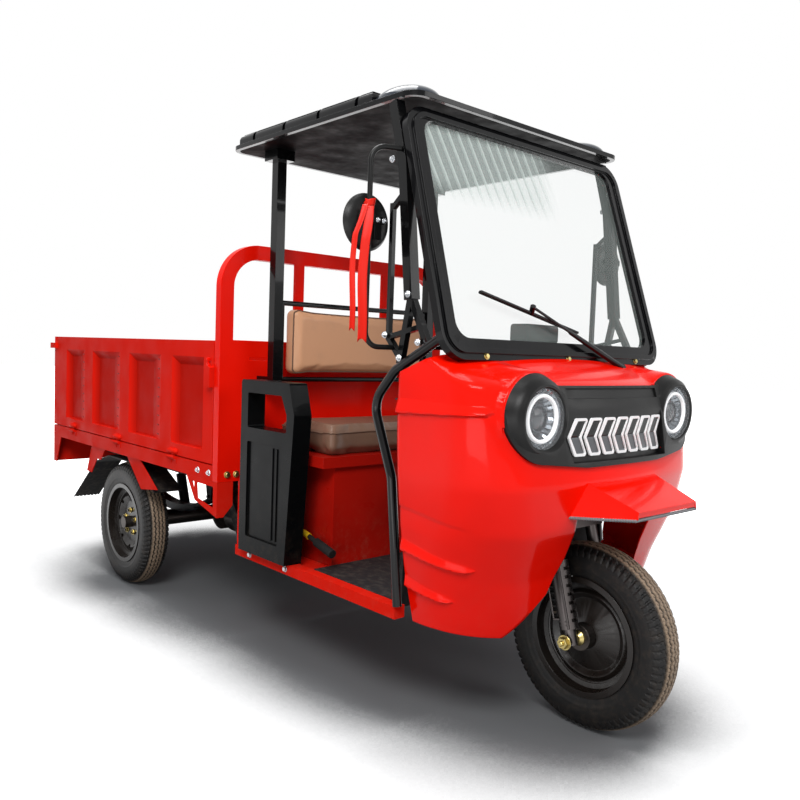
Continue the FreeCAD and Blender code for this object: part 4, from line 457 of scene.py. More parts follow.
# the u at which the skin stands side mm from the middle, per height
def columnAt(tables, z, side):
    low, high = np.full_like(z, 1.0), np.full_like(z, 3.0)
    for _ in range(24):
        middle = (low + high) / 2
        wide = cowlSurface(tables, middle, z)[1] > side
        low, high = np.where(wide, middle, low), np.where(wide, high, middle)
    return (low + high) / 2


# quads over a grid of points, joined round along the axes in wrap
def gridFaces(rows, columns, start=0, wrap=()):
    index = start + np.arange(rows * columns).reshape(rows, columns)
    for axis in wrap:
        index = np.concatenate([index, index.take([0], axis)], axis)
    return np.stack([index[:-1, :-1], index[:-1, 1:], index[1:, 1:], index[1:, :-1]], -1).reshape(-1, 4)


def meshFrom(name, points, faces, flip=False):
    mesh = bpy.data.meshes.new(name)
    rings = faces[:, ::-1] if flip else faces
    mesh.from_pydata([tuple(point) for point in points], [], [tuple(int(i) for i in ring) for ring in rings])
    mesh.validate()
    return mesh


# how far the pressed ribs and the fold stand out of the flank
def flankRelief(x, z):
    relief = np.zeros_like(x)
    for level, rise, tip, tall in flankRibs:
        height = (level - cowl["bottom"]) / (cowl["top"] - cowl["bottom"])
        rear = cowl["rear"] + cowl["rearRake"] * (1 - height) - 30
        share = np.clip((tip - x) / (tip - rear), 0, 1)
        middle = level + rise * share
        room = np.minimum(tall / 2 * (0.55 + 0.45 * share), np.clip(tip - x, 0, None) * 0.9)
        below = np.clip((z - middle + room) / 3.0, 0, 1)
        above = np.clip((middle + room - z) / np.maximum(room * 1.5, 1), 0, 1)
        relief += 9.0 * np.minimum(below, above) * (x < tip)
    fold = 594 + 30 * (1977 - x) / 236
    below = np.clip((fold - z) / 4, 0, 1) * np.clip(1 - (fold - z) / 55, 0, 1)
    return relief - 3.0 * below * np.clip((1977 - x) / 30, 0, 1)


# the skin drawn forward round each lamp, with a soft root where it meets the swell
def swellSkin(points):
    x, side, level = points[:, 0], np.abs(points[:, 1]), points[:, 2]
    away = np.hypot(side - panelShape["side"], level - panelShape["lamp"])
    behind, radii = zip(*swell["profile"][:6])
    root = np.interp(away, radii[::-1], behind[::-1]) + swell["face"] - 3
    root = np.where(away > radii[0], root - (away - radii[0]) * 8, root)
    gap = root - x
    drawn = x + (gap + np.sqrt(gap * gap + swell["blend"] ** 2)) / 2
    points[:, 0] = np.where(x < swell["face"] - 40, drawn, x)


# rows of the skin spread between its hem and its crest, which both slope
def fittedRows(tables, u, rows):
    bottom, top = cowl["bottom"], cowl["top"]
    low, high = np.full_like(rows, 900.0), np.full_like(rows, float(top))
    for _ in range(24):
        middle = (low + high) / 2
        over = middle > np.interp(cowlSurface(tables, u, middle)[0], *zip(*cowl["crest"]))
        low, high = np.where(over, low, middle), np.where(over, middle, high)
    z = np.where(rows > 900, 900 + (rows - 900) * (low - 900) / (top - 900), rows)
    for _ in range(4):
        hem = np.interp(cowlSurface(tables, u, z)[0], *zip(*cowl["hem"]))
        z = np.where(rows < 400, hem + (rows - bottom) * (400 - hem) / (400 - bottom), z)
    return z


def makeCowl():
    tables = cowlTables()
    heights = np.concatenate([np.arange(cowl["bottom"], 560, 3.0), np.arange(560, 740, 5.0),
                              np.arange(740, 950, 3.0),
                              np.arange(950, cowl["top"] + 1, 2.2)])
    archLevels, archHalves = zip(*cowl["arch"])
    halfAt = np.interp(heights, archLevels, archHalves)
    edge = columnAt(tables, heights, halfAt)
    sideShares = np.concatenate([np.linspace(0, 1, 24)[:-1], 1 + np.linspace(0, 1, 28)[:-1]])
    points, faces = [], []
    count = 0
    frontShares = np.linspace(0, 1, 22)
    flankU = np.tile(sideShares, (len(heights), 1))
    archU = np.minimum(2, edge)[:, None]
    flankU = np.where(flankU > 1, 1 + (flankU - 1) * (archU - 1), flankU)
    outerU = np.concatenate([flankU, archU + (edge[:, None] - archU) * np.linspace(0, 1, 26)], 1)
    middleRows = heights >= archLevels[-1]
    innerU = (edge[middleRows, None] + (3 - edge[middleRows, None]) * frontShares)
    for u, rows in ((outerU, heights), (innerU, heights[middleRows])):
        z = fittedRows(tables, u, np.repeat(rows[:, None], u.shape[1], 1))
        x, y = cowlSurface(tables, u, z)
        for outward in (1, -1):
            grid = np.stack([x, y * outward, z], -1).reshape(-1, 3)
            ring = gridFaces(u.shape[0], u.shape[1], count)
            points.append(grid)
            faces.append(ring if outward > 0 else ring[:, ::-1])
            count += len(grid)
    points, faces = np.concatenate(points), np.concatenate(faces)
    swellSkin(points)
    middles = points[faces].mean(1)
    side, level = np.abs(middles[:, 1]), middles[:, 2]
    lamps = np.hypot(side - panelShape["side"], level - panelShape["lamp"]) < panelShape["hole"]
    left, right, low, high = panelShape["pocket"]
    pocket = (middles[:, 1] > left) & (middles[:, 1] < right) & (level > low) & (level < high)
    faces = faces[~(lamps | pocket)]
    placed = np.array([axleX, 0, 0]) + points * mm
    mesh = meshFrom("cowl_shell", placed, faces)
    work = bmesh.new()
    work.from_mesh(mesh)
    bmesh.ops.remove_doubles(work, verts=work.verts, dist=0.3 * mm)
    bmesh.ops.recalc_face_normals(work, faces=work.faces)
    work.normal_update()
    if sum(face.normal.x for face in work.faces) < 0:
        bmesh.ops.reverse_faces(work, faces=work.faces)
        work.normal_update()
    xs = np.array([(vert.co.x - axleX) / mm for vert in work.verts])
    zs = np.array([vert.co.z / mm for vert in work.verts])
    relief = flankRelief(xs, zs)
    for vert, lift in zip(work.verts, relief):
        if abs(vert.normal.y) > 0.3:
            vert.co += vert.normal * float(lift) * mm
    work.to_mesh(mesh)
    work.free()
    piece = newPiece("cowl_shell", mesh, cabRed, "body")
    thicken(piece, cowl["wall"])
    smoothBy(piece, 38)
    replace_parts(piece, "front_cowl")
    for word, outward in sides:
        centre = (swell["face"], panelShape["side"] * outward, panelShape["lamp"])
        turnedPiece("lamp_swell_" + word, swell["profile"], centre, (1, 0, 0), cabRed, "body", 96)


# a turned form: profile holds (along the axis, radius), the axis starts at centre
def latheMesh(name, profile, centre, axis, around=64, closed=False):
    axis = Vector(axis).normalized()
    radial = axis.cross(Vector((0, 0, 1)) if abs(axis.z) < 0.9 else Vector((1, 0, 0))).normalized()
    other = axis.cross(radial)
    start = at(*centre)
    points = []
    for along, radius in profile:
        for step in range(around):
            angle = math.tau * step / around
            spoke = radial * math.cos(angle) + other * math.sin(angle)
            points.append(start + (axis * along + spoke * max(radius, 0.01)) * mm)
    mesh = meshFrom(name, points, gridFaces(len(profile), around, wrap=(1, 0) if closed else (1,)))
    work = bmesh.new()
    work.from_mesh(mesh)
    bmesh.ops.remove_doubles(work, verts=work.verts, dist=0.03 * mm)
    if closed or profile[0][1] <= 0.01 or profile[-1][1] <= 0.01:
        bmesh.ops.recalc_face_normals(work, faces=work.faces)
    work.to_mesh(mesh)
    work.free()
    return mesh


def turnedPiece(name, profile, centre, axis, material, body, around=64, angle=40, closed=False):
    mesh = latheMesh(name, profile, centre, axis, around, closed)
    return smoothBy(newPiece(name, mesh, material, body), angle)


# Tyres: a ribbed road tread with lugged shoulders

tyre = {"outer": 258, "drop": 17, "half": 56.5, "flange": 166, "bead": 46, "around": 600, "lugs": 74,
        "lines": ((228, 1.2), (190, 1.0), (176, 1.6)), "wheels": (
            ("front_tyre", 2022, 0, 0.0), ("rear_tyre_right", 0, -450.5, 0.4),
            ("rear_tyre_left", 0, 450.5, 1.1))}


# half section from the middle of the tread to the bead, as (side, radius) with the share of tread in it
def tyreProfile():
    tread = tyre["half"] - tyre["drop"] / 2
    crown = [(s, tyre["outer"] - tyre["drop"] * (s / tread) ** 2.3) for s in np.linspace(0, tread, 26)]
    shoulder = np.array(crown[-1])
    bead = np.array([tyre["bead"], tyre["flange"] + 0.5])
    wall = np.array([tyre["half"] + 3.5, (tyre["flange"] + shoulder[1]) / 2 + 6])
    curve = []
    for t in np.linspace(0, 1, 22)[1:]:
        curve.append(tuple((1 - t) ** 2 * shoulder + 2 * t * (1 - t) * wall + t * t * bead))
    return np.array(crown + curve)


# groove depth in mm at an angle share and a distance from the middle
def treadDepth(around, side):
    lug = around * tyre["lugs"]
    zig = (np.abs(lug % 1 - 0.5) * 4 - 1) * 2.4
    depth = np.zeros(np.broadcast(around, side).shape)
    for middle, width in ((0.0, 4.6), (15.5, 4.8), (-15.5, 4.8), (31.0, 4.4), (-31.0, 4.4)):
        gap = np.abs(side - middle - zig * (1 if abs(middle) < 20 else 0.6))
        depth = np.maximum(depth, 5.0 * np.clip((width / 2 - gap) / 1.2 + 0.5, 0, 1))
    slant = lug + np.sign(side) * 0.25 + np.abs(side) / 60
    slot = np.abs(slant % 1 - 0.5)
    outer = np.clip((np.abs(side) - 33) / 3, 0, 1)
    depth = np.maximum(depth, 5.5 * outer * np.clip((slot - 0.31) / 0.06, 0, 1))
    sipe = np.abs((lug * 2 + side / 26) % 1 - 0.5)
    centre = (np.abs(side) < 30)
    return np.maximum(depth, 2.2 * centre * np.clip((sipe - 0.42) / 0.05, 0, 1))


def makeTyre(node, centreX, centreY, turn):
    half = tyreProfile()
    section = np.concatenate([half[:0:-1] * (-1, 1), half])
    steps = tyre["around"]
    angles = np.linspace(0, math.tau, steps, endpoint=False)
    side = section[:, 0][None, :]
    radius = np.repeat(section[:, 1][None, :], steps, 0)
    share = (angles / math.tau)[:, None]
    edge = tyre["outer"] - tyre["drop"] - 22
    fade = np.clip((radius - edge) / 10, 0, 1)
    radius = radius - treadDepth(share, side) * fade
    for ring, proud in tyre["lines"]:
        gap = np.abs(section[:, 1][None, :] - ring)
        side = side + np.sign(side) * proud * np.clip(1 - gap / 2.5, 0, 1) * (np.abs(side) > 48)
    side = np.broadcast_to(side, radius.shape)
    x = centreX + radius * np.cos(angles + turn)[:, None]
    z = tyre["outer"] + radius * np.sin(angles + turn)[:, None]
    points = np.stack([axleX + x * mm, (centreY + side) * mm, z * mm], -1).reshape(-1, 3)
    groove = np.clip(treadDepth(share, section[:, 0][None, :]) / 3, 0, 1)
    band = np.clip((30 - np.abs(section[:, 0][None, :])) / 5, 0, 1)
    crown = (band * (1 - groove)).reshape(-1)
    mesh = meshFrom(node + "_tread", points, gridFaces(steps, len(section), wrap=(0,)), True)
    mesh.attributes.new("crown", "FLOAT", "POINT").data.foreach_set("value", crown.astype(np.float32))
    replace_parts(smoothBy(newPiece(node + "_tread", mesh, tyreRubber, nodeBody(node)), 40), node)


makeCowl()
for wheel in tyre["wheels"]:
    makeTyre(*wheel)
print("cowl and tyres made")


# Copies of a small part on points, used for bolts, beads and pressed dashes


def socketOf(tree, name):
    return next(item.identifier for item in tree.interface.items_tree if item.name == name)


def makeCopiesTree():
    tree = bpy.data.node_groups.new("copies on points", "GeometryNodeTree")
    face = tree.interface
    face.new_socket("Points", in_out="INPUT", socket_type="NodeSocketGeometry")
    face.new_socket("Unit", in_out="INPUT", socket_type="NodeSocketObject")
    face.new_socket("Finish", in_out="INPUT", socket_type="NodeSocketMaterial")
    face.new_socket("Copies", in_out="OUTPUT", socket_type="NodeSocketGeometry")
    given = addNode(tree, "NodeGroupInput").outputs
    unit = addNode(tree, "GeometryNodeObjectInfo", inputs={"Object": given["Unit"]}).outputs["Geometry"]
    aim = addNode(tree, "GeometryNodeInputNamedAttribute", {"data_type": "FLOAT_VECTOR"}, {"Name": "aim"})
    spin = addNode(tree, "GeometryNodeInputNamedAttribute", {"data_type": "FLOAT_VECTOR"}, {"Name": "along"})
    turn = addNode(tree, "FunctionNodeAxesToRotation", {"primary_axis": "Z", "secondary_axis": "X"}, {
        "Primary Axis": aim.outputs["Attribute"], "Secondary Axis": spin.outputs["Attribute"]})
    copies = addNode(tree, "GeometryNodeInstanceOnPoints", inputs={
        "Points": given["Points"], "Instance": unit, "Rotation": turn.outputs["Rotation"]})
    solid = addNode(tree, "GeometryNodeRealizeInstances", inputs={
        "Geometry": copies.outputs["Instances"]}).outputs["Geometry"]
    done = addNode(tree, "GeometryNodeSetMaterial", inputs={"Geometry": solid, "Material": given["Finish"]})
    addNode(tree, "NodeGroupOutput", inputs={"Copies": done.outputs["Geometry"]})
    return tree


copiesTree = makeCopiesTree()


# places holds (point in mm, outward direction, direction of the unit's length)
def copiesOf(name, unitMesh, places, material, body):
    points = bpy.data.meshes.new(name + "_points")
    points.from_pydata([at(*place) for place, aim, along in places], [], [])
    for key, column in (("aim", 1), ("along", 2)):
        layer = points.attributes.new(key, "FLOAT_VECTOR", "POINT")
        for index, place in enumerate(places):
            layer.data[index].vector = Vector(place[column]).normalized()
    holder = bpy.data.objects.new(name + "_points", points)
    unit = bpy.data.objects.new(name + "_unit", unitMesh)
    bpy.context.scene.collection.objects.link(holder)
    bpy.context.scene.collection.objects.link(unit)
    nodes = holder.modifiers.new("copies", "NODES")
    nodes.node_group = copiesTree
    nodes[socketOf(copiesTree, "Unit")] = unit
    nodes[socketOf(copiesTree, "Finish")] = material
    bpy.context.view_layer.update()
    seen = holder.evaluated_get(bpy.context.evaluated_depsgraph_get())
    mesh = bpy.data.meshes.new_from_object(seen)
    mesh.name = name
    bpy.data.objects.remove(holder)
    bpy.data.objects.remove(unit)
    mesh.materials.clear()
    smoothBy(newPiece(name, mesh, material, body), 35)


# small parts about the origin, in metres, with Z outwards
def turnedUnit(name, profile, around=20):
    work = bmesh.new()
    turns = [math.tau * i / around for i in range(around)]
    rings = [[work.verts.new((math.cos(turn) * radius * mm, math.sin(turn) * radius * mm, height * mm))
              for turn in turns] for radius, height in profile]
    for low, high in zip(rings, rings[1:]):
        for i in range(around):
            work.faces.new((low[i], low[(i + 1) % around], high[(i + 1) % around], high[i]))
    work.faces.new(rings[-1])
    work.faces.new(rings[0][::-1])
    mesh = bpy.data.meshes.new(name)
    work.to_mesh(mesh)
    work.free()
    return mesh


bolt = {"across": 8.5, "head": 6.0, "washer": 11.0, "sheet": 1.6, "shank": 3.6, "tip": 10.5}


# a hexagon head on its washer, and for a nut the end of the stud standing out of it
def boltUnit(scale=1.0, nut=False):
    across, wide, sheet = bolt["across"] * scale, bolt["washer"] * scale, bolt["sheet"] * scale
    top, shank, tip = sheet + bolt["head"] * scale, bolt["shank"] * scale, bolt["tip"] * scale
    meshes = [turnedUnit("washer", [(wide, -0.5), (wide, sheet * 0.7), (wide * 0.96, sheet)], 24),
              turnedUnit("head", [(across, sheet - 0.2), (across, top * 0.9), (across * 0.9, top)], 6)]
    if nut:
        meshes.append(turnedUnit("tip", [(shank, 0), (shank, tip), (shank * 0.7, tip + scale)], 14))
    work = bmesh.new()
    for part in meshes:
        work.from_mesh(part)
    mesh = bpy.data.meshes.new("bolt")
    work.to_mesh(mesh)
    work.free()
    return mesh


# Chevrons: two flat tones inside each white outline; the dark upper one is painted shade in the hollow

chevrons = {"first": -186, "pitch": 60, "count": 7, "low": 775, "high": 873, "width": 48, "sweep": 25,
            "line": 6.0, "face": 2086, "bow": 2000, "proud": 1.6, "steps": 8}


def makeChevronFills():
    # the dark upper fill is a painted shade sheet standing for the hollow; the grey lower fill is a real plate
    for name, material, shares in (("chevron_upper", smokePlastic, (0.5, 1.0)),
                                   ("chevron_lower", greyPlastic, (0.0, 0.5))):
        points, faces = [], []
        tall = chevrons["high"] - chevrons["low"]
        for index in range(chevrons["count"]):
            centre = chevrons["first"] + chevrons["pitch"] * index
            wide = chevrons["width"] / 2 - chevrons["line"]
            rows = np.linspace(*shares, chevrons["steps"])
            rows = np.clip(rows, chevrons["line"] / tall, 1 - chevrons["line"] / tall)
            for share in rows:
                lean = chevrons["sweep"] * (abs(share - 0.5) - 0.25) * 2
                for side in np.linspace(-wide, wide, 5):
                    y = centre + lean + side
                    reach = chevrons["bow"] + chevrons["proud"]
                    x = chevrons["face"] - chevrons["bow"] + math.sqrt(reach ** 2 - y ** 2)
                    points.append(at(x, y, chevrons["low"] + tall * share))
            faces.append(gridFaces(len(rows), 5, index * len(rows) * 5))
        piece = newPiece(name, meshFrom(name, points, np.concatenate(faces)), material, "body")
        thicken(piece, 1.2)
        smoothBy(piece, 40)


# Headlamps: a faceted reflector, a white ring and a projector under a clear lens

lamp = {"face": 2074, "side": 314, "level": 874, "sectors": 26,
        "rings": ((75.5, 12.5), (66, 24), (56, 36), (46, 46), (38, 51)), "facet": 3.2,
        "ring": 57, "ringWidth": 10, "ringDepth": 9, "barrel": 37, "eye": 31}


def makeReflector(name, centre):
    count = lamp["sectors"] * 2
    points = []
    for index, (radius, depth) in enumerate(lamp["rings"]):
        for step in range(count):
            angle = math.tau * step / count
            bulge = lamp["facet"] if step % 2 else 0.0
            reach = radius - bulge * 0.25
            points.append(at(centre[0] - depth + bulge * (index > 0),
                             centre[1] + reach * math.cos(angle), centre[2] + reach * math.sin(angle)))
    mesh = meshFrom(name, points, gridFaces(len(lamp["rings"]), count, wrap=(1,)))
    mesh.polygons.foreach_set("use_smooth", [False] * len(mesh.polygons))
    piece = newPiece(name, mesh, chromeBowl, "body")
    thicken(piece, 1.5)
    return piece


def makeLamps():
    depth, ring, half = lamp["ringDepth"], lamp["ring"], lamp["ringWidth"] / 2
    barrel, eye = lamp["barrel"], lamp["eye"]
    dome = [(-30 + 14 * math.cos(t), max(0.0, (eye - 0.5) * math.sin(t)))
            for t in np.linspace(math.pi / 2, 0, 12)]
    parts = (  # name, finish, facets round, sharp angle, closed profile, (along, radius)
        ("day_ring_", dayRing, 96, 50, True, [
            (-depth - 5, ring + half), (-depth, ring + half), (-depth + 3, ring + half - 2),
            (-depth + 3.6, ring), (-depth + 3, ring - half + 2), (-depth, ring - half),
            (-depth - 5, ring - half)]),
        ("projector_shroud_", shroudChrome, 64, 35, True, [
            (-50, barrel + 6), (-34, barrel), (-24, barrel), (-21, barrel - 2), (-21, eye + 1), (-30, eye),
            (-50, eye)]),
        ("projector_eye_", projectorGlass, 48, 60, False, dome),
        ("projector_back_", smokePlastic, 32, 40, False, [(-34, eye - 1), (-36, 0)]))
    for word, outward in sides:
        centre = (lamp["face"], lamp["side"] * outward, lamp["level"])
        bowl = makeReflector("reflector_" + word, centre)
        for name, finish, around, angle, closed, profile in parts:
            turnedPiece(name + word, profile, centre, (1, 0, 0), finish, "body", around, angle, closed)
        if outward < 0:
            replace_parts(bowl, "lamp_bowls")


makeChevronFills()
makeLamps()
print("chevrons and lamps made")


# Seat: pads blown up by cloth simulation from a slightly smaller form, then piped along their edges

pads = {
    "seat_cushion": {"finish": cushionVinyl, "shrink": 13, "cap": 24, "fill": 0.75, "floor": 2,
                     "piping": ("Z", 0.80), "inset": 8, "round": 46},
    "seat_back": {"finish": seatVinyl, "shrink": 8, "cap": 11, "fill": 0.7, "floor": 0,
                  "piping": ("X", 0.86), "inset": 7, "round": 24},
}
stuffing = {"voxel": 8, "pressure": 4, "frames": 20}


def puff(node, settings):
    low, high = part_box(node)
    middle, half = (low + high) / 2, (high - low) / 2
    mesh = cadNodes[node].data.copy()
    mesh.materials.clear()
    for vert in mesh.vertices:
        offset = vert.co - middle
        vert.co = middle + Vector(offset[i] * (1 - settings["shrink"] * mm / half[i]) for i in range(3))
    piece = bpy.data.objects.new(node + "_pad", mesh)
    bpy.context.scene.collection.objects.link(piece)
    remesh = piece.modifiers.new("even grid", "REMESH")
    remesh.mode = "VOXEL"
    remesh.voxel_size = stuffing["voxel"] * mm
    bpy.context.view_layer.update()
    even = bpy.data.meshes.new_from_object(piece.evaluated_get(bpy.context.evaluated_depsgraph_get()))
    piece.modifiers.clear()
    piece.data = even
    rest = np.array([tuple(vert.co) for vert in even.vertices])
    swollen = rest
    cloth = piece.modifiers.new("stuffing", "CLOTH")
    cloth.settings.use_pressure = True
    cloth.settings.uniform_pressure_force = stuffing["pressure"]
    cloth.settings.effector_weights.gravity = 0
    cloth.point_cache.frame_start = 1
    cloth.point_cache.frame_end = stuffing["frames"]
    for number in range(1, stuffing["frames"] + 1):
        bpy.context.scene.frame_set(number)
    blown = piece.evaluated_get(bpy.context.evaluated_depsgraph_get())
    swollen = np.array([tuple(vert.co) for vert in blown.data.vertices])
    piece.modifiers.clear()
    bpy.context.scene.frame_set(1)
    move = swollen - rest
    length = np.linalg.norm(move, axis=1, keepdims=True)
    swollen = rest + move * np.minimum(1, settings["cap"] * mm / np.maximum(length, 1e-9))
    swollen = np.clip(swollen, np.array(low), np.array(high))
    axis = settings["floor"]
    swollen[:, axis] = np.maximum(swollen[:, axis], low[axis] + 0.2 * mm)
    for vert, place in zip(even.vertices, swollen):
        vert.co = place
    return piece


# a path round the pad, a share of the way up the given axis, drawn onto its surface
def pipingPath(piece, node, settings):
    low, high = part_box(node)
    axis = "XYZ".index(settings["piping"][0])
    others = [i for i in range(3) if i != axis]
    level = low[axis] + (high[axis] - low[axis]) * settings["piping"][1]
    tree = BVHTree.FromObject(piece, bpy.context.evaluated_depsgraph_get())
    inset, bend = settings["inset"] * mm, settings["round"] * mm
    a0, a1 = low[others[0]] + inset, high[others[0]] - inset
    b0, b1 = low[others[1]] + inset, high[others[1]] - inset
    outline = []
    for ca, cb, start in ((a1 - bend, b1 - bend, 0), (a0 + bend, b1 - bend, 1),
                          (a0 + bend, b0 + bend, 2), (a1 - bend, b0 + bend, 3)):
        for t in np.linspace(0, 1, 9):
            angle = (start + t) * math.pi / 2
            outline.append((ca + bend * math.cos(angle), cb + bend * math.sin(angle)))
    path = []
    for first, second in zip(outline, outline[1:] + outline[:1]):
        steps = max(1, int(math.dist(first, second) / (16 * mm)))
        for step in range(steps):
            t = step / steps
            place = [0.0, 0.0, 0.0]
            place[axis] = level
            place[others[0]] = first[0] + (second[0] - first[0]) * t
            place[others[1]] = first[1] + (second[1] - first[1]) * t
            near, normal, index, gap = tree.find_nearest(Vector(place))
            path.append(near + normal * 0.8 * mm)
    return path


# a round cord along points, as a mesh
def cordMesh(name, path, radiusMm, cyclic=True, sides=2):
    data = bpy.data.curves.new(name, "CURVE")
    data.dimensions = "3D"
    data.bevel_depth = radiusMm * mm
    data.bevel_resolution = sides
    data.use_fill_caps = not cyclic
    spline = data.splines.new("POLY")
    spline.points.add(len(path) - 1)
    for point, place in zip(spline.points, path):
        point.co = (*place, 1)
    spline.use_cyclic_u = cyclic
    holder = bpy.data.objects.new(name + "_path", data)
    bpy.context.scene.collection.objects.link(holder)
    bpy.context.view_layer.update()
    mesh = bpy.data.meshes.new_from_object(holder.evaluated_get(bpy.context.evaluated_depsgraph_get()))
    bpy.data.objects.remove(holder)
    return mesh


def makePads():
    for node, settings in pads.items():
        piece = puff(node, settings)
        path = pipingPath(piece, node, settings)
        piece.data.materials.clear()
        piece.data.materials.append(settings["finish"])
        smooth = piece.modifiers.new("smooth", "SUBSURF")
        smooth.levels = smooth.render_levels = 1
        smoothBy(piece, 80)
        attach(piece, nodeBody(node))
        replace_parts(piece, node)
        name = node + "_piping"
        smoothBy(newPiece(name, cordMesh(name, path, 2.6), pipingVinyl, nodeBody(node)), 60)


makePads()
print("seat pads made")


# Small fasteners and pressings

gate = {"hinges": (0.168, 0.490, 0.812), "rear": -776, "length": 1589, "span": 1594, "side": 526,
        "low": 659, "high": 984, "shares": (0.252, 0.500, 0.743), "flank": 110, "recess": 22, "dashes": 9,
        "dash": (30, 6, 2.6), "inset": 0.26}
hood = {"side": 525.5, "level": 628, "out": 14, "up": 11,
        "stations": ((-38, 0.25), (-34, 0.8), (-28, 1), (28, 1), (34, 0.8), (38, 0.25))}
latch = {"x": 793, "side": 536, "level": 962, "hook": (  # x, z, size
    (793, 958, (16, 10, 12)), (799, 936, (7, 9, 44)), (786, 905, (20, 10, 9)), (778, 914, (7, 9, 22)),
    (801, 896, (9, 11, 16))), "knob": ((0, 3.5), (10, 3.5), (11, 7), (16, 8.5), (21, 7), (23, 0))}
fixings = {  # name: scale, nut, distance from the middle, (x, z) of each, finish
    "guard_bolts": (0.9, False, 477, ((996, 330), (1208, 330)), brightSteel),
    "rail_bolts": (1.0, True, 526, ((716, 583), (795, 583)), brightSteel),
    "pillar_bolts": (0.85, True, 481.5, ((1664, 1532), (1742, 1176), (1656, 1070), (1716, 1010),
                                         (1786, 1052)), brightSteel)}
studs = {"circle": 50, "count": 5, "side": 450.5 + 12.4, "level": 258, "turn": 0.25}
screenBolts = {"x": 1903.5, "z": 1022, "sides": (-348, 0, 348), "out": (0.955, 0, 0.296)}
hoopBolts = {"x": 853, "z": 581, "sides": (488, 453)}
axle = {"x": 2022, "z": 258, "nut": 118, "cone": 66,
        "profile": ((-24, 22), (-6, 21), (2, 13), (12, 12), (12, 9.5))}


# a bead with rounded ends, long in X and raised in Z
def beadUnit(name, length, width, height):
    points, rows, columns = [], 9, 7
    for u in np.linspace(-1, 1, rows):
        narrow = math.sqrt(max(0.0, 1 - abs(u) ** 7))
        for v in np.linspace(-1, 1, columns):
            rise = height * (1 - v * v) * narrow - 0.5 * (1 - narrow) - 0.4 * abs(v)
            points.append(Vector((u * length / 2, v * width / 2 * narrow, rise)) * mm)
    return meshFrom(name, points, gridFaces(rows, columns), True)


def makeGateDashes():
    pitch = (gate["high"] - gate["low"]) / gate["dashes"]
    back, sunk = gate["flank"] * gate["inset"], gate["recess"] * gate["inset"] - 0.4
    for word, outward in sides:
        out = (-gate["recess"], gate["flank"] * outward, 0)
        along = (gate["flank"], gate["recess"] * outward, 0)
        places = [((gate["rear"] + gate["length"] * share - back, (gate["side"] - sunk) * outward,
                    gate["low"] + pitch * (step + 0.5)), out, along)
                  for share in gate["shares"] for step in range(gate["dashes"])]
        # the dashes take the darker box red as painted shade of the pressed marks
        copiesOf("gate_dashes_" + word, beadUnit("dash", *gate["dash"]), places, boxRed,
                 nodeBody("side_gate_" + word))


def makeBolts():
    for name, (scale, nut, side, spots, finish) in fixings.items():
        places = [((x, side * outward, z), (0, outward, 0), (1, 0, 0))
                  for x, z in spots for word, outward in sides]
        copiesOf(name, boltUnit(scale, nut), places, finish, "body")
    places = [((screenBolts["x"], y, screenBolts["z"]), screenBolts["out"], (0, 1, 0))
              for y in screenBolts["sides"]]
    copiesOf("screen_bolts", boltUnit(0.8), places, brassBolt, "body")
    places = [((hoopBolts["x"], y * outward, hoopBolts["z"]), (1, 0, 0), (0, 1, 0))
              for y in hoopBolts["sides"] for word, outward in sides]
    copiesOf("hoop_bolts", boltUnit(1.1), places, brassBolt, "body")
    fork, places = nodeBody("fork"), []
    for word, outward in sides:
        node = "rear_hub_" + word
        nuts = []
        for index in range(studs["count"]):
            turn = math.tau * (index + studs["turn"]) / studs["count"]
            nuts.append(((studs["circle"] * math.cos(turn), studs["side"] * outward,
                          studs["level"] + studs["circle"] * math.sin(turn)), (0, outward, 0), (1, 0, 0)))
        copiesOf(node + "_nuts", boltUnit(1.1, True), nuts, brassBolt, nodeBody(node))
        places.append(((axle["x"], axle["nut"] * outward, axle["z"]), (0, outward, 0), (1, 0, 0)))
        turnedPiece("axle_cone_" + word, axle["profile"], (axle["x"], axle["cone"] * outward, axle["z"]),
                    (0, outward, 0), brassBolt, fork, 40, 35)
    copiesOf("axle_nuts", boltUnit(1.9, True), places, brassBolt, fork)


trim = {"points": ((2070, 215, 623), (2154, 184, 629), (2233, 147, 635)), "radius": 4.4, "pitch": 6.5}


def makeVisorTrim():
    right = [Vector((x, -y, z - 3.5)) for x, y, z in trim["points"]]
    route = right + [Vector((point.x, -point.y, point.z)) for point in reversed(right)]
    spots = []
    for first, second in zip(route, route[1:]):
        along = second - first
        count = max(1, round(along.length / trim["pitch"]))
        for step in range(count):
            spots.append((tuple(first + along * (step / count)), (0, 0, -1), tuple(along)))
    radius = trim["radius"]
    ball = [(radius * math.sin(t), -radius * math.cos(t)) for t in np.linspace(0.25, 2.9, 7)]
    copiesOf("visor_trim", turnedUnit("bead", ball, 10), spots, trimRubber, "body")


# boxes with softened edges in one piece, each given by its middle and size in mm
def blocksPiece(name, blocks, material, body, bevelMm=1.0, turn=None):
    work = bmesh.new()
    for centre, size in blocks:
        verts = bmesh.ops.create_cube(work, size=1.0)["verts"]
        for vert in verts:
            spot = Vector([centre[i] + vert.co[i] * size[i] for i in range(3)])
            vert.co = at(*spot) if turn is None else turn(spot)
    bmesh.ops.recalc_face_normals(work, faces=work.faces)
    mesh = bpy.data.meshes.new(name)
    work.to_mesh(mesh)
    work.free()
    piece = newPiece(name, mesh, material, body)
    bevelAndShade(piece, bevelMm)
    return piece


mirror = {"side": 550, "level": 1366, "front": 1666.5, "arm": 560, "stay": 528, "plate": (5, 88, 20),
          "bolts": (571, 530, 509)}


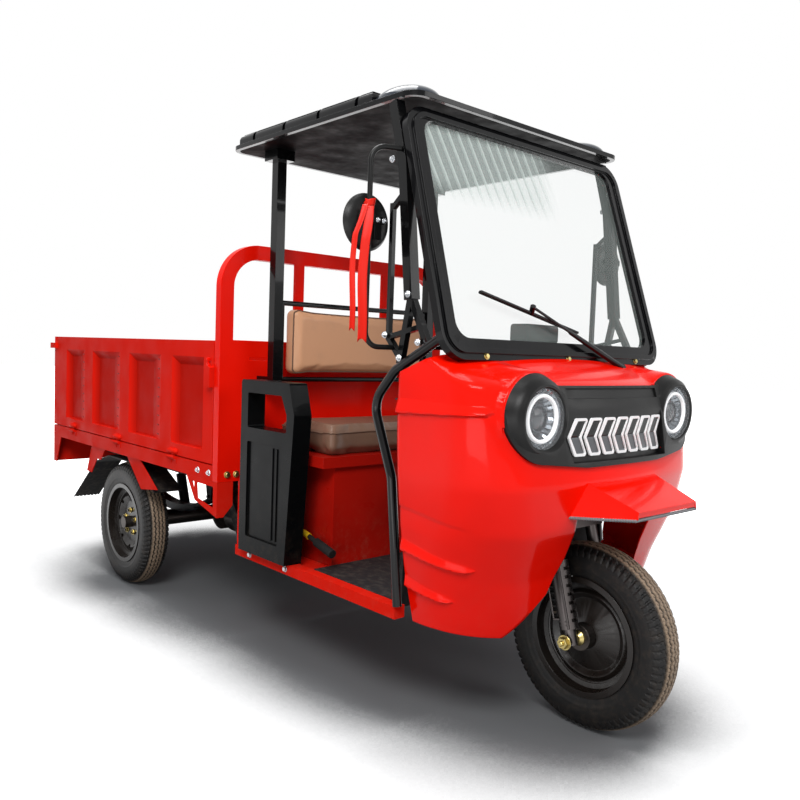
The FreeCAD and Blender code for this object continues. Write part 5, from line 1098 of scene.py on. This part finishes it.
def makeMirrorClamps():
    front, level, plate = mirror["front"], mirror["level"], mirror["plate"]
    bolts = []
    for word, outward in sides:
        blocks = [((front + plate[0] / 2, mirror["side"] * outward, level), plate),
                  ((front + 9, mirror["arm"] * outward, level + 4), (10, 26, 20)),
                  ((front + 1, mirror["stay"] * outward, level - 28), (4, 26, 46))]
        blocksPiece("mirror_clamp_" + word, blocks, satinTrim, "body", 2.0)
        bolts += [((front + plate[0], side * outward, level), (1, 0, 0), (0, 1, 0))
                  for side in mirror["bolts"]]
    copiesOf("mirror_bolts", boltUnit(0.72, True), bolts, brightSteel, "body")


casting = {"face": 100, "bar": (  # along the leg, ahead of it, out from the face, size
    (113, -31, 0, (118, 5, 22)), (113, -9, 0, (118, 5, 22)),
    (52, -20, 0, (6, 26, 22)), (174, -20, 0, (6, 26, 22)),
    (36, 2, 9, (4, 26, 8)), (46, 2, 9, (4, 26, 8)), (186, 2, 9, (4, 26, 8)), (196, 2, 9, (4, 26, 8)),
    (113, 6, 6, (176, 22, 12))),
    "rungs": [(70 + 17.2 * step, -20, 4, (7, 20, 8)) for step in range(6)],
    "slot": ((113, -20, -2, (116, 20, 8)),)}


# a place on a fork leg: along it, ahead of it and out from the middle, in mm
def legPlace(spot):
    along, ahead, out = spot
    footX, _, footZ = steering["foot"]
    rake, forward = steering["rake"], 30 * math.cos(steering["rake"]) + ahead
    return at(footX + forward * math.cos(rake) - along * math.sin(rake), out,
              footZ + forward * math.sin(rake) + along * math.cos(rake))


def makeForkCasting():
    body = nodeBody("fork")
    for word, outward in sides:
        for name, key, finish, soft in (("fork_casting_", "bar", forkSteel, 1.2),
                                        ("fork_rungs_", "rungs", frameBlack, 0.8),
                                        ("fork_slot_", "slot", smokePlastic, 0.0)):
            blocks = [((along, ahead, (casting["face"] + out) * outward), size)
                      for along, ahead, out, size in casting[key]]
            blocksPiece(name + word, blocks, finish, body, soft, legPlace)


# half-round pressed covers over the gate hinges, and the latch's hook and knob
def makeGateFittings():
    for word, outward in sides:
        body = nodeBody("side_gate_" + word)
        points, faces = [], []
        for share in gate["hinges"]:
            faces.append(gridFaces(len(hood["stations"]), 11, len(points)))
            for along, grow in hood["stations"]:
                for angle in np.linspace(0, math.pi, 11):
                    points.append(at(gate["rear"] + gate["span"] * share + along,
                                     (hood["side"] + hood["out"] * grow * math.sin(angle)) * outward,
                                     hood["level"] + hood["up"] * grow * math.cos(angle)))
        mesh = meshFrom("hinge_hoods_" + word, points, np.concatenate(faces), outward < 0)
        smoothBy(newPiece("hinge_hoods_" + word, mesh, bedRed, body), 50)
        side = latch["side"] * outward
        hook = [((x, side, z), size) for x, z, size in latch["hook"]]
        blocksPiece("latch_hook_" + word, hook, frameRed, body, 2.2)
        turnedPiece("latch_knob_" + word, latch["knob"], (latch["x"], side, latch["level"]), (0, 0, 1),
                    frameRed, body, 24, 50)


visorLip = ((2235.0, 0, 644.5), (4, 284, 14))
guardStrips = {"side": 493.5, "level": 558, "xs": (1146, 1170), "size": (5, 5, 296)}
brake = {"start": (1100, -392, 452), "tip": (1340, -392, 392),
         "sleeve": ((84, 8.2), (84, 10.5), (118, 10.5), (118, 8.2))}
wiper = {"lean": math.radians(17.2), "hinge": (1907, 1012), "foot": (235, -18, 20), "joint": (-151, 150, 24),
         "tip": (-335, 182, 9), "heel": (54, 88, 9), "radius": 5.0,
         "sleeve": ((0, 9), (0.35, 8), (0.6, 6.5), (0.62, 4))}  # share of the arm, radius


def makeTrimParts():
    blocksPiece("visor_lip", [visorLip], cabRed, "body", 1.6)
    for word, outward in sides:
        strips = [((x, guardStrips["side"] * outward, guardStrips["level"]), guardStrips["size"])
                  for x in guardStrips["xs"]]
        blocksPiece("guard_strips_" + word, strips, guardBlack, "body")
    along = (Vector(brake["tip"]) - Vector(brake["start"])).normalized()
    turnedPiece("brake_sleeve", brake["sleeve"], brake["start"], tuple(along), bandYellow, "body", 24)


# a place on the windscreen: across it, up it and proud of it, in mm
def onScreen(side, height, proud):
    lean, (x, z) = wiper["lean"], wiper["hinge"]
    return Vector((x - height * math.sin(lean) + proud * math.cos(lean), side,
                   z + height * math.cos(lean) + proud * math.sin(lean)))


def makeWiperParts():
    foot, joint = onScreen(*wiper["foot"]), onScreen(*wiper["joint"])
    reach = (joint - foot).length
    profile = [(6, 0)] + [(max(6, reach * share), radius) for share, radius in wiper["sleeve"]]
    turnedPiece("wiper_sleeve", profile, tuple(foot), tuple(joint - foot), tubeBlack, "body", 20, 35)
    tip, heel = onScreen(*wiper["tip"]), onScreen(*wiper["heel"])
    rubber = [at(*(tip.lerp(heel, t) - Vector((3, 0, 0)))) for t in np.linspace(0, 1, 12)]
    blade = cordMesh("wiper_blade", rubber, wiper["radius"], False)
    smoothBy(newPiece("wiper_blade", blade, gripRubber, "body"), 60)


# Ribbon: two tails and a tie of narrow satin ribbon, hung from the right mirror's arm

ribbon = {"arm": (1670, -560), "steps": 40, "columns": 7, "thick": 0.6, "bendAt": 0.3,
          "tails": {  # top, bend, end, twist, wave, width
              "ribbon_tail_front": ((1686, -576, 1394), (1692, -590, 1310), (1690, -591, 1046), 0.15, 0.3, 24),
              "ribbon_tail_back": ((1680, -584, 1398), (1676, -611, 1320), (1675, -612, 1074), 0.35, 0.3, 15)},
          "tie": {"width": 18, "turns": 2.4, "steps": 90, "level": 1400, "inner": 9.0, "grows": 7.0, "sway": 9}}


# a strip along the middles, each with its direction across, and with a notch cut in its end
def ribbonPiece(name, middles, acrosses, width, cup=2.0, notch=0.0):
    points, last = [], len(middles) - 1
    for index, (middle, across) in enumerate(zip(middles, acrosses)):
        across = across.normalized()
        for v in np.linspace(-1, 1, ribbon["columns"]):
            fold = Vector((cup * (v * v - 0.4), 0, notch * (1 - abs(v)) if index == last else 0))
            points.append(at(*(middle + across * (v * width / 2) + fold)))
    mesh = meshFrom(name, points, gridFaces(len(middles), ribbon["columns"]))
    piece = newPiece(name, mesh, ribbonSilk, "body")
    thicken(piece, ribbon["thick"], 0)
    smoothBy(piece, 80)


def makeRibbon():
    bendAt = ribbon["bendAt"]
    for name, (top, bend, low, twist, wave, width) in ribbon["tails"].items():
        top, bend, low = Vector(top), Vector(bend), Vector(low)
        middles, acrosses = [], []
        for t in np.linspace(0, 1, ribbon["steps"]):
            spot = top.lerp(bend, t / bendAt) if t < bendAt else bend.lerp(low, (t - bendAt) / (1 - bendAt))
            middles.append(spot + Vector((3 * math.sin(t * 9 + twist), 2 * math.sin(t * 7 + wave), 0)))
            angle = twist * (1 - t) + wave * math.sin(t * 5)
            flat, turned = math.cos(angle), math.sin(angle)
            acrosses.append(Vector((0.55 * flat + 0.6 * turned, 0.83 * flat - 0.4 * turned, 0.2 * turned)))
        ribbonPiece(name, middles, acrosses, width, notch=width * 0.55)
    tie, (armX, armY) = ribbon["tie"], ribbon["arm"]
    middles, acrosses = [], []
    for t in np.linspace(0, 1, tie["steps"]):
        angle = math.tau * tie["turns"] * t + 0.6
        radius = tie["inner"] + tie["grows"] * t
        middles.append(Vector((armX + radius * math.cos(angle), armY + radius * math.sin(angle),
                               tie["level"] + tie["sway"] * math.sin(t * 9))))
        acrosses.append(Vector((0.15 * math.cos(angle), 0.15 * math.sin(angle), 1)))
    ribbonPiece("ribbon_tie", middles, acrosses, tie["width"], cup=0.0)


for make in (makeGateDashes, makeGateFittings, makeBolts, makeVisorTrim, makeMirrorClamps, makeForkCasting,
             makeTrimParts, makeWiperParts, makeRibbon):
    make()
print("fasteners, pressings and ribbon made")


# Camera, light and floor

view = {"place": (2524.3, -1869.5, 1024.3), "turn": 48.0076, "down": 3.4326, "roll": 2.0192, "lens": 35.638}


def makeCamera():
    az, down, roll = (math.radians(view[key]) for key in ("turn", "down", "roll"))
    forward = Vector((-math.sin(az) * math.cos(down), math.cos(az) * math.cos(down), -math.sin(down)))
    right = Vector((math.cos(az), math.sin(az), 0))
    up = right.cross(forward)
    right, up = right * math.cos(roll) + up * math.sin(roll), up * math.cos(roll) - right * math.sin(roll)
    data = bpy.data.cameras.new("photo camera")
    data.lens, data.sensor_width, data.clip_start, data.clip_end = view["lens"], 36, 0.05, 200
    camera = bpy.data.objects.new("photo camera", data)
    turn = Matrix((right, up, -forward)).transposed().to_4x4()
    camera.matrix_world = Matrix.Translation(Vector(view["place"]) * mm) @ turn
    bpy.context.scene.collection.objects.link(camera)
    bpy.context.scene.camera = camera


def makeLamp(name, place, aim, size, watts):
    data = bpy.data.lights.new(name, "AREA")
    data.shape = "RECTANGLE"
    data.size, data.size_y = size
    data.energy = watts
    panel = bpy.data.objects.new(name, data)
    panel.location = place
    panel.rotation_euler = (Vector(aim) - Vector(place)).to_track_quat("-Z", "Y").to_euler()
    bpy.context.scene.collection.objects.link(panel)


# 1 where the camera sees the surface itself, through glass or in a reflection
def seenOf(tree):
    path = addNode(tree, "ShaderNodeLightPath").outputs
    seen = mathOf(tree, "MAXIMUM", path["Is Camera Ray"], path["Is Transmission Ray"])
    return mathOf(tree, "MAXIMUM", seen, path["Is Glossy Ray"])


def makeWorld():
    world = bpy.data.worlds.new("studio")
    bpy.context.scene.world = world
    world.use_nodes = True
    tree = world.node_tree
    dim = tree.nodes["Background"]
    feed(tree, dim, {"Color": (0.92, 0.95, 1.0, 1.0), "Strength": 0.35})
    white = addNode(tree, "ShaderNodeBackground", inputs={"Color": (1, 1, 1, 1), "Strength": 1.0})
    mix = addNode(tree, "ShaderNodeMixShader", inputs={
        0: seenOf(tree), 1: dim.outputs["Background"], 2: white.outputs["Background"]})
    feed(tree, tree.nodes["World Output"], {"Surface": mix.outputs["Shader"]})


studio = {"reach": 30, "shadow": 0.75, "open": (0.60, 0.86), "far": (1.5, 3.0)}


def makeFloor():
    reach = studio["reach"]
    corners = [(-reach, -reach, 0), (reach, -reach, 0), (reach, reach, 0), (-reach, reach, 0)]
    mesh = bpy.data.meshes.new("floor")
    mesh.from_pydata(corners, [], [(0, 1, 2, 3)])
    floor = bpy.data.objects.new("floor", mesh)
    bpy.context.scene.collection.objects.link(floor)
    material, tree, shader, place = newMaterial("pale studio floor with painted shadow")
    away = addNode(tree, "ShaderNodeVectorMath", {"operation": "LENGTH"}, {"Vector": place}).outputs["Value"]
    # painted shadow: ambient occlusion takes the floor's glow away under and around the vehicle, and more of it
    # where the vehicle is closer
    near = addNode(tree, "ShaderNodeAmbientOcclusion", {"samples": 32}, {"Distance": studio["shadow"]})
    clear = stepUp(tree, near.outputs["AO"], *studio["open"])
    glowWithPaintedShadow = mathOf(tree, "MULTIPLY_ADD", clear, 0.9, stepUp(tree, away, *studio["far"]))
    feed(tree, shader, {
        "Base Color": (0.16, 0.165, 0.17, 1), "Roughness": 0.9, "Specular IOR Level": 0.1,
        "Emission Color": (1, 1, 1, 1), "Emission Strength": mathOf(tree, "MULTIPLY", seenOf(tree), glowWithPaintedShadow)})
    mesh.materials.append(material)


makeCamera()
makeWorld()
makeFloor()
makeLamp("key panel", (3.2, -3.4, 4.2), (0.2, 0, 0.7), (2.2, 1.6), 190)
makeLamp("fill panel", (4.5, 1.8, 2.6), (0.6, 0, 0.7), (2.4, 2.0), 60)
makeLamp("top panel", (-0.5, -0.5, 4.6), (0, 0, 0.5), (3.0, 2.2), 150)
makeLamp("low panel", (2.6, -4.2, 0.7), (0.4, 0, 0.6), (3.0, 1.0), 35)
bpy.context.scene.view_settings.view_transform = "Standard"
print("camera, lamps and floor set")
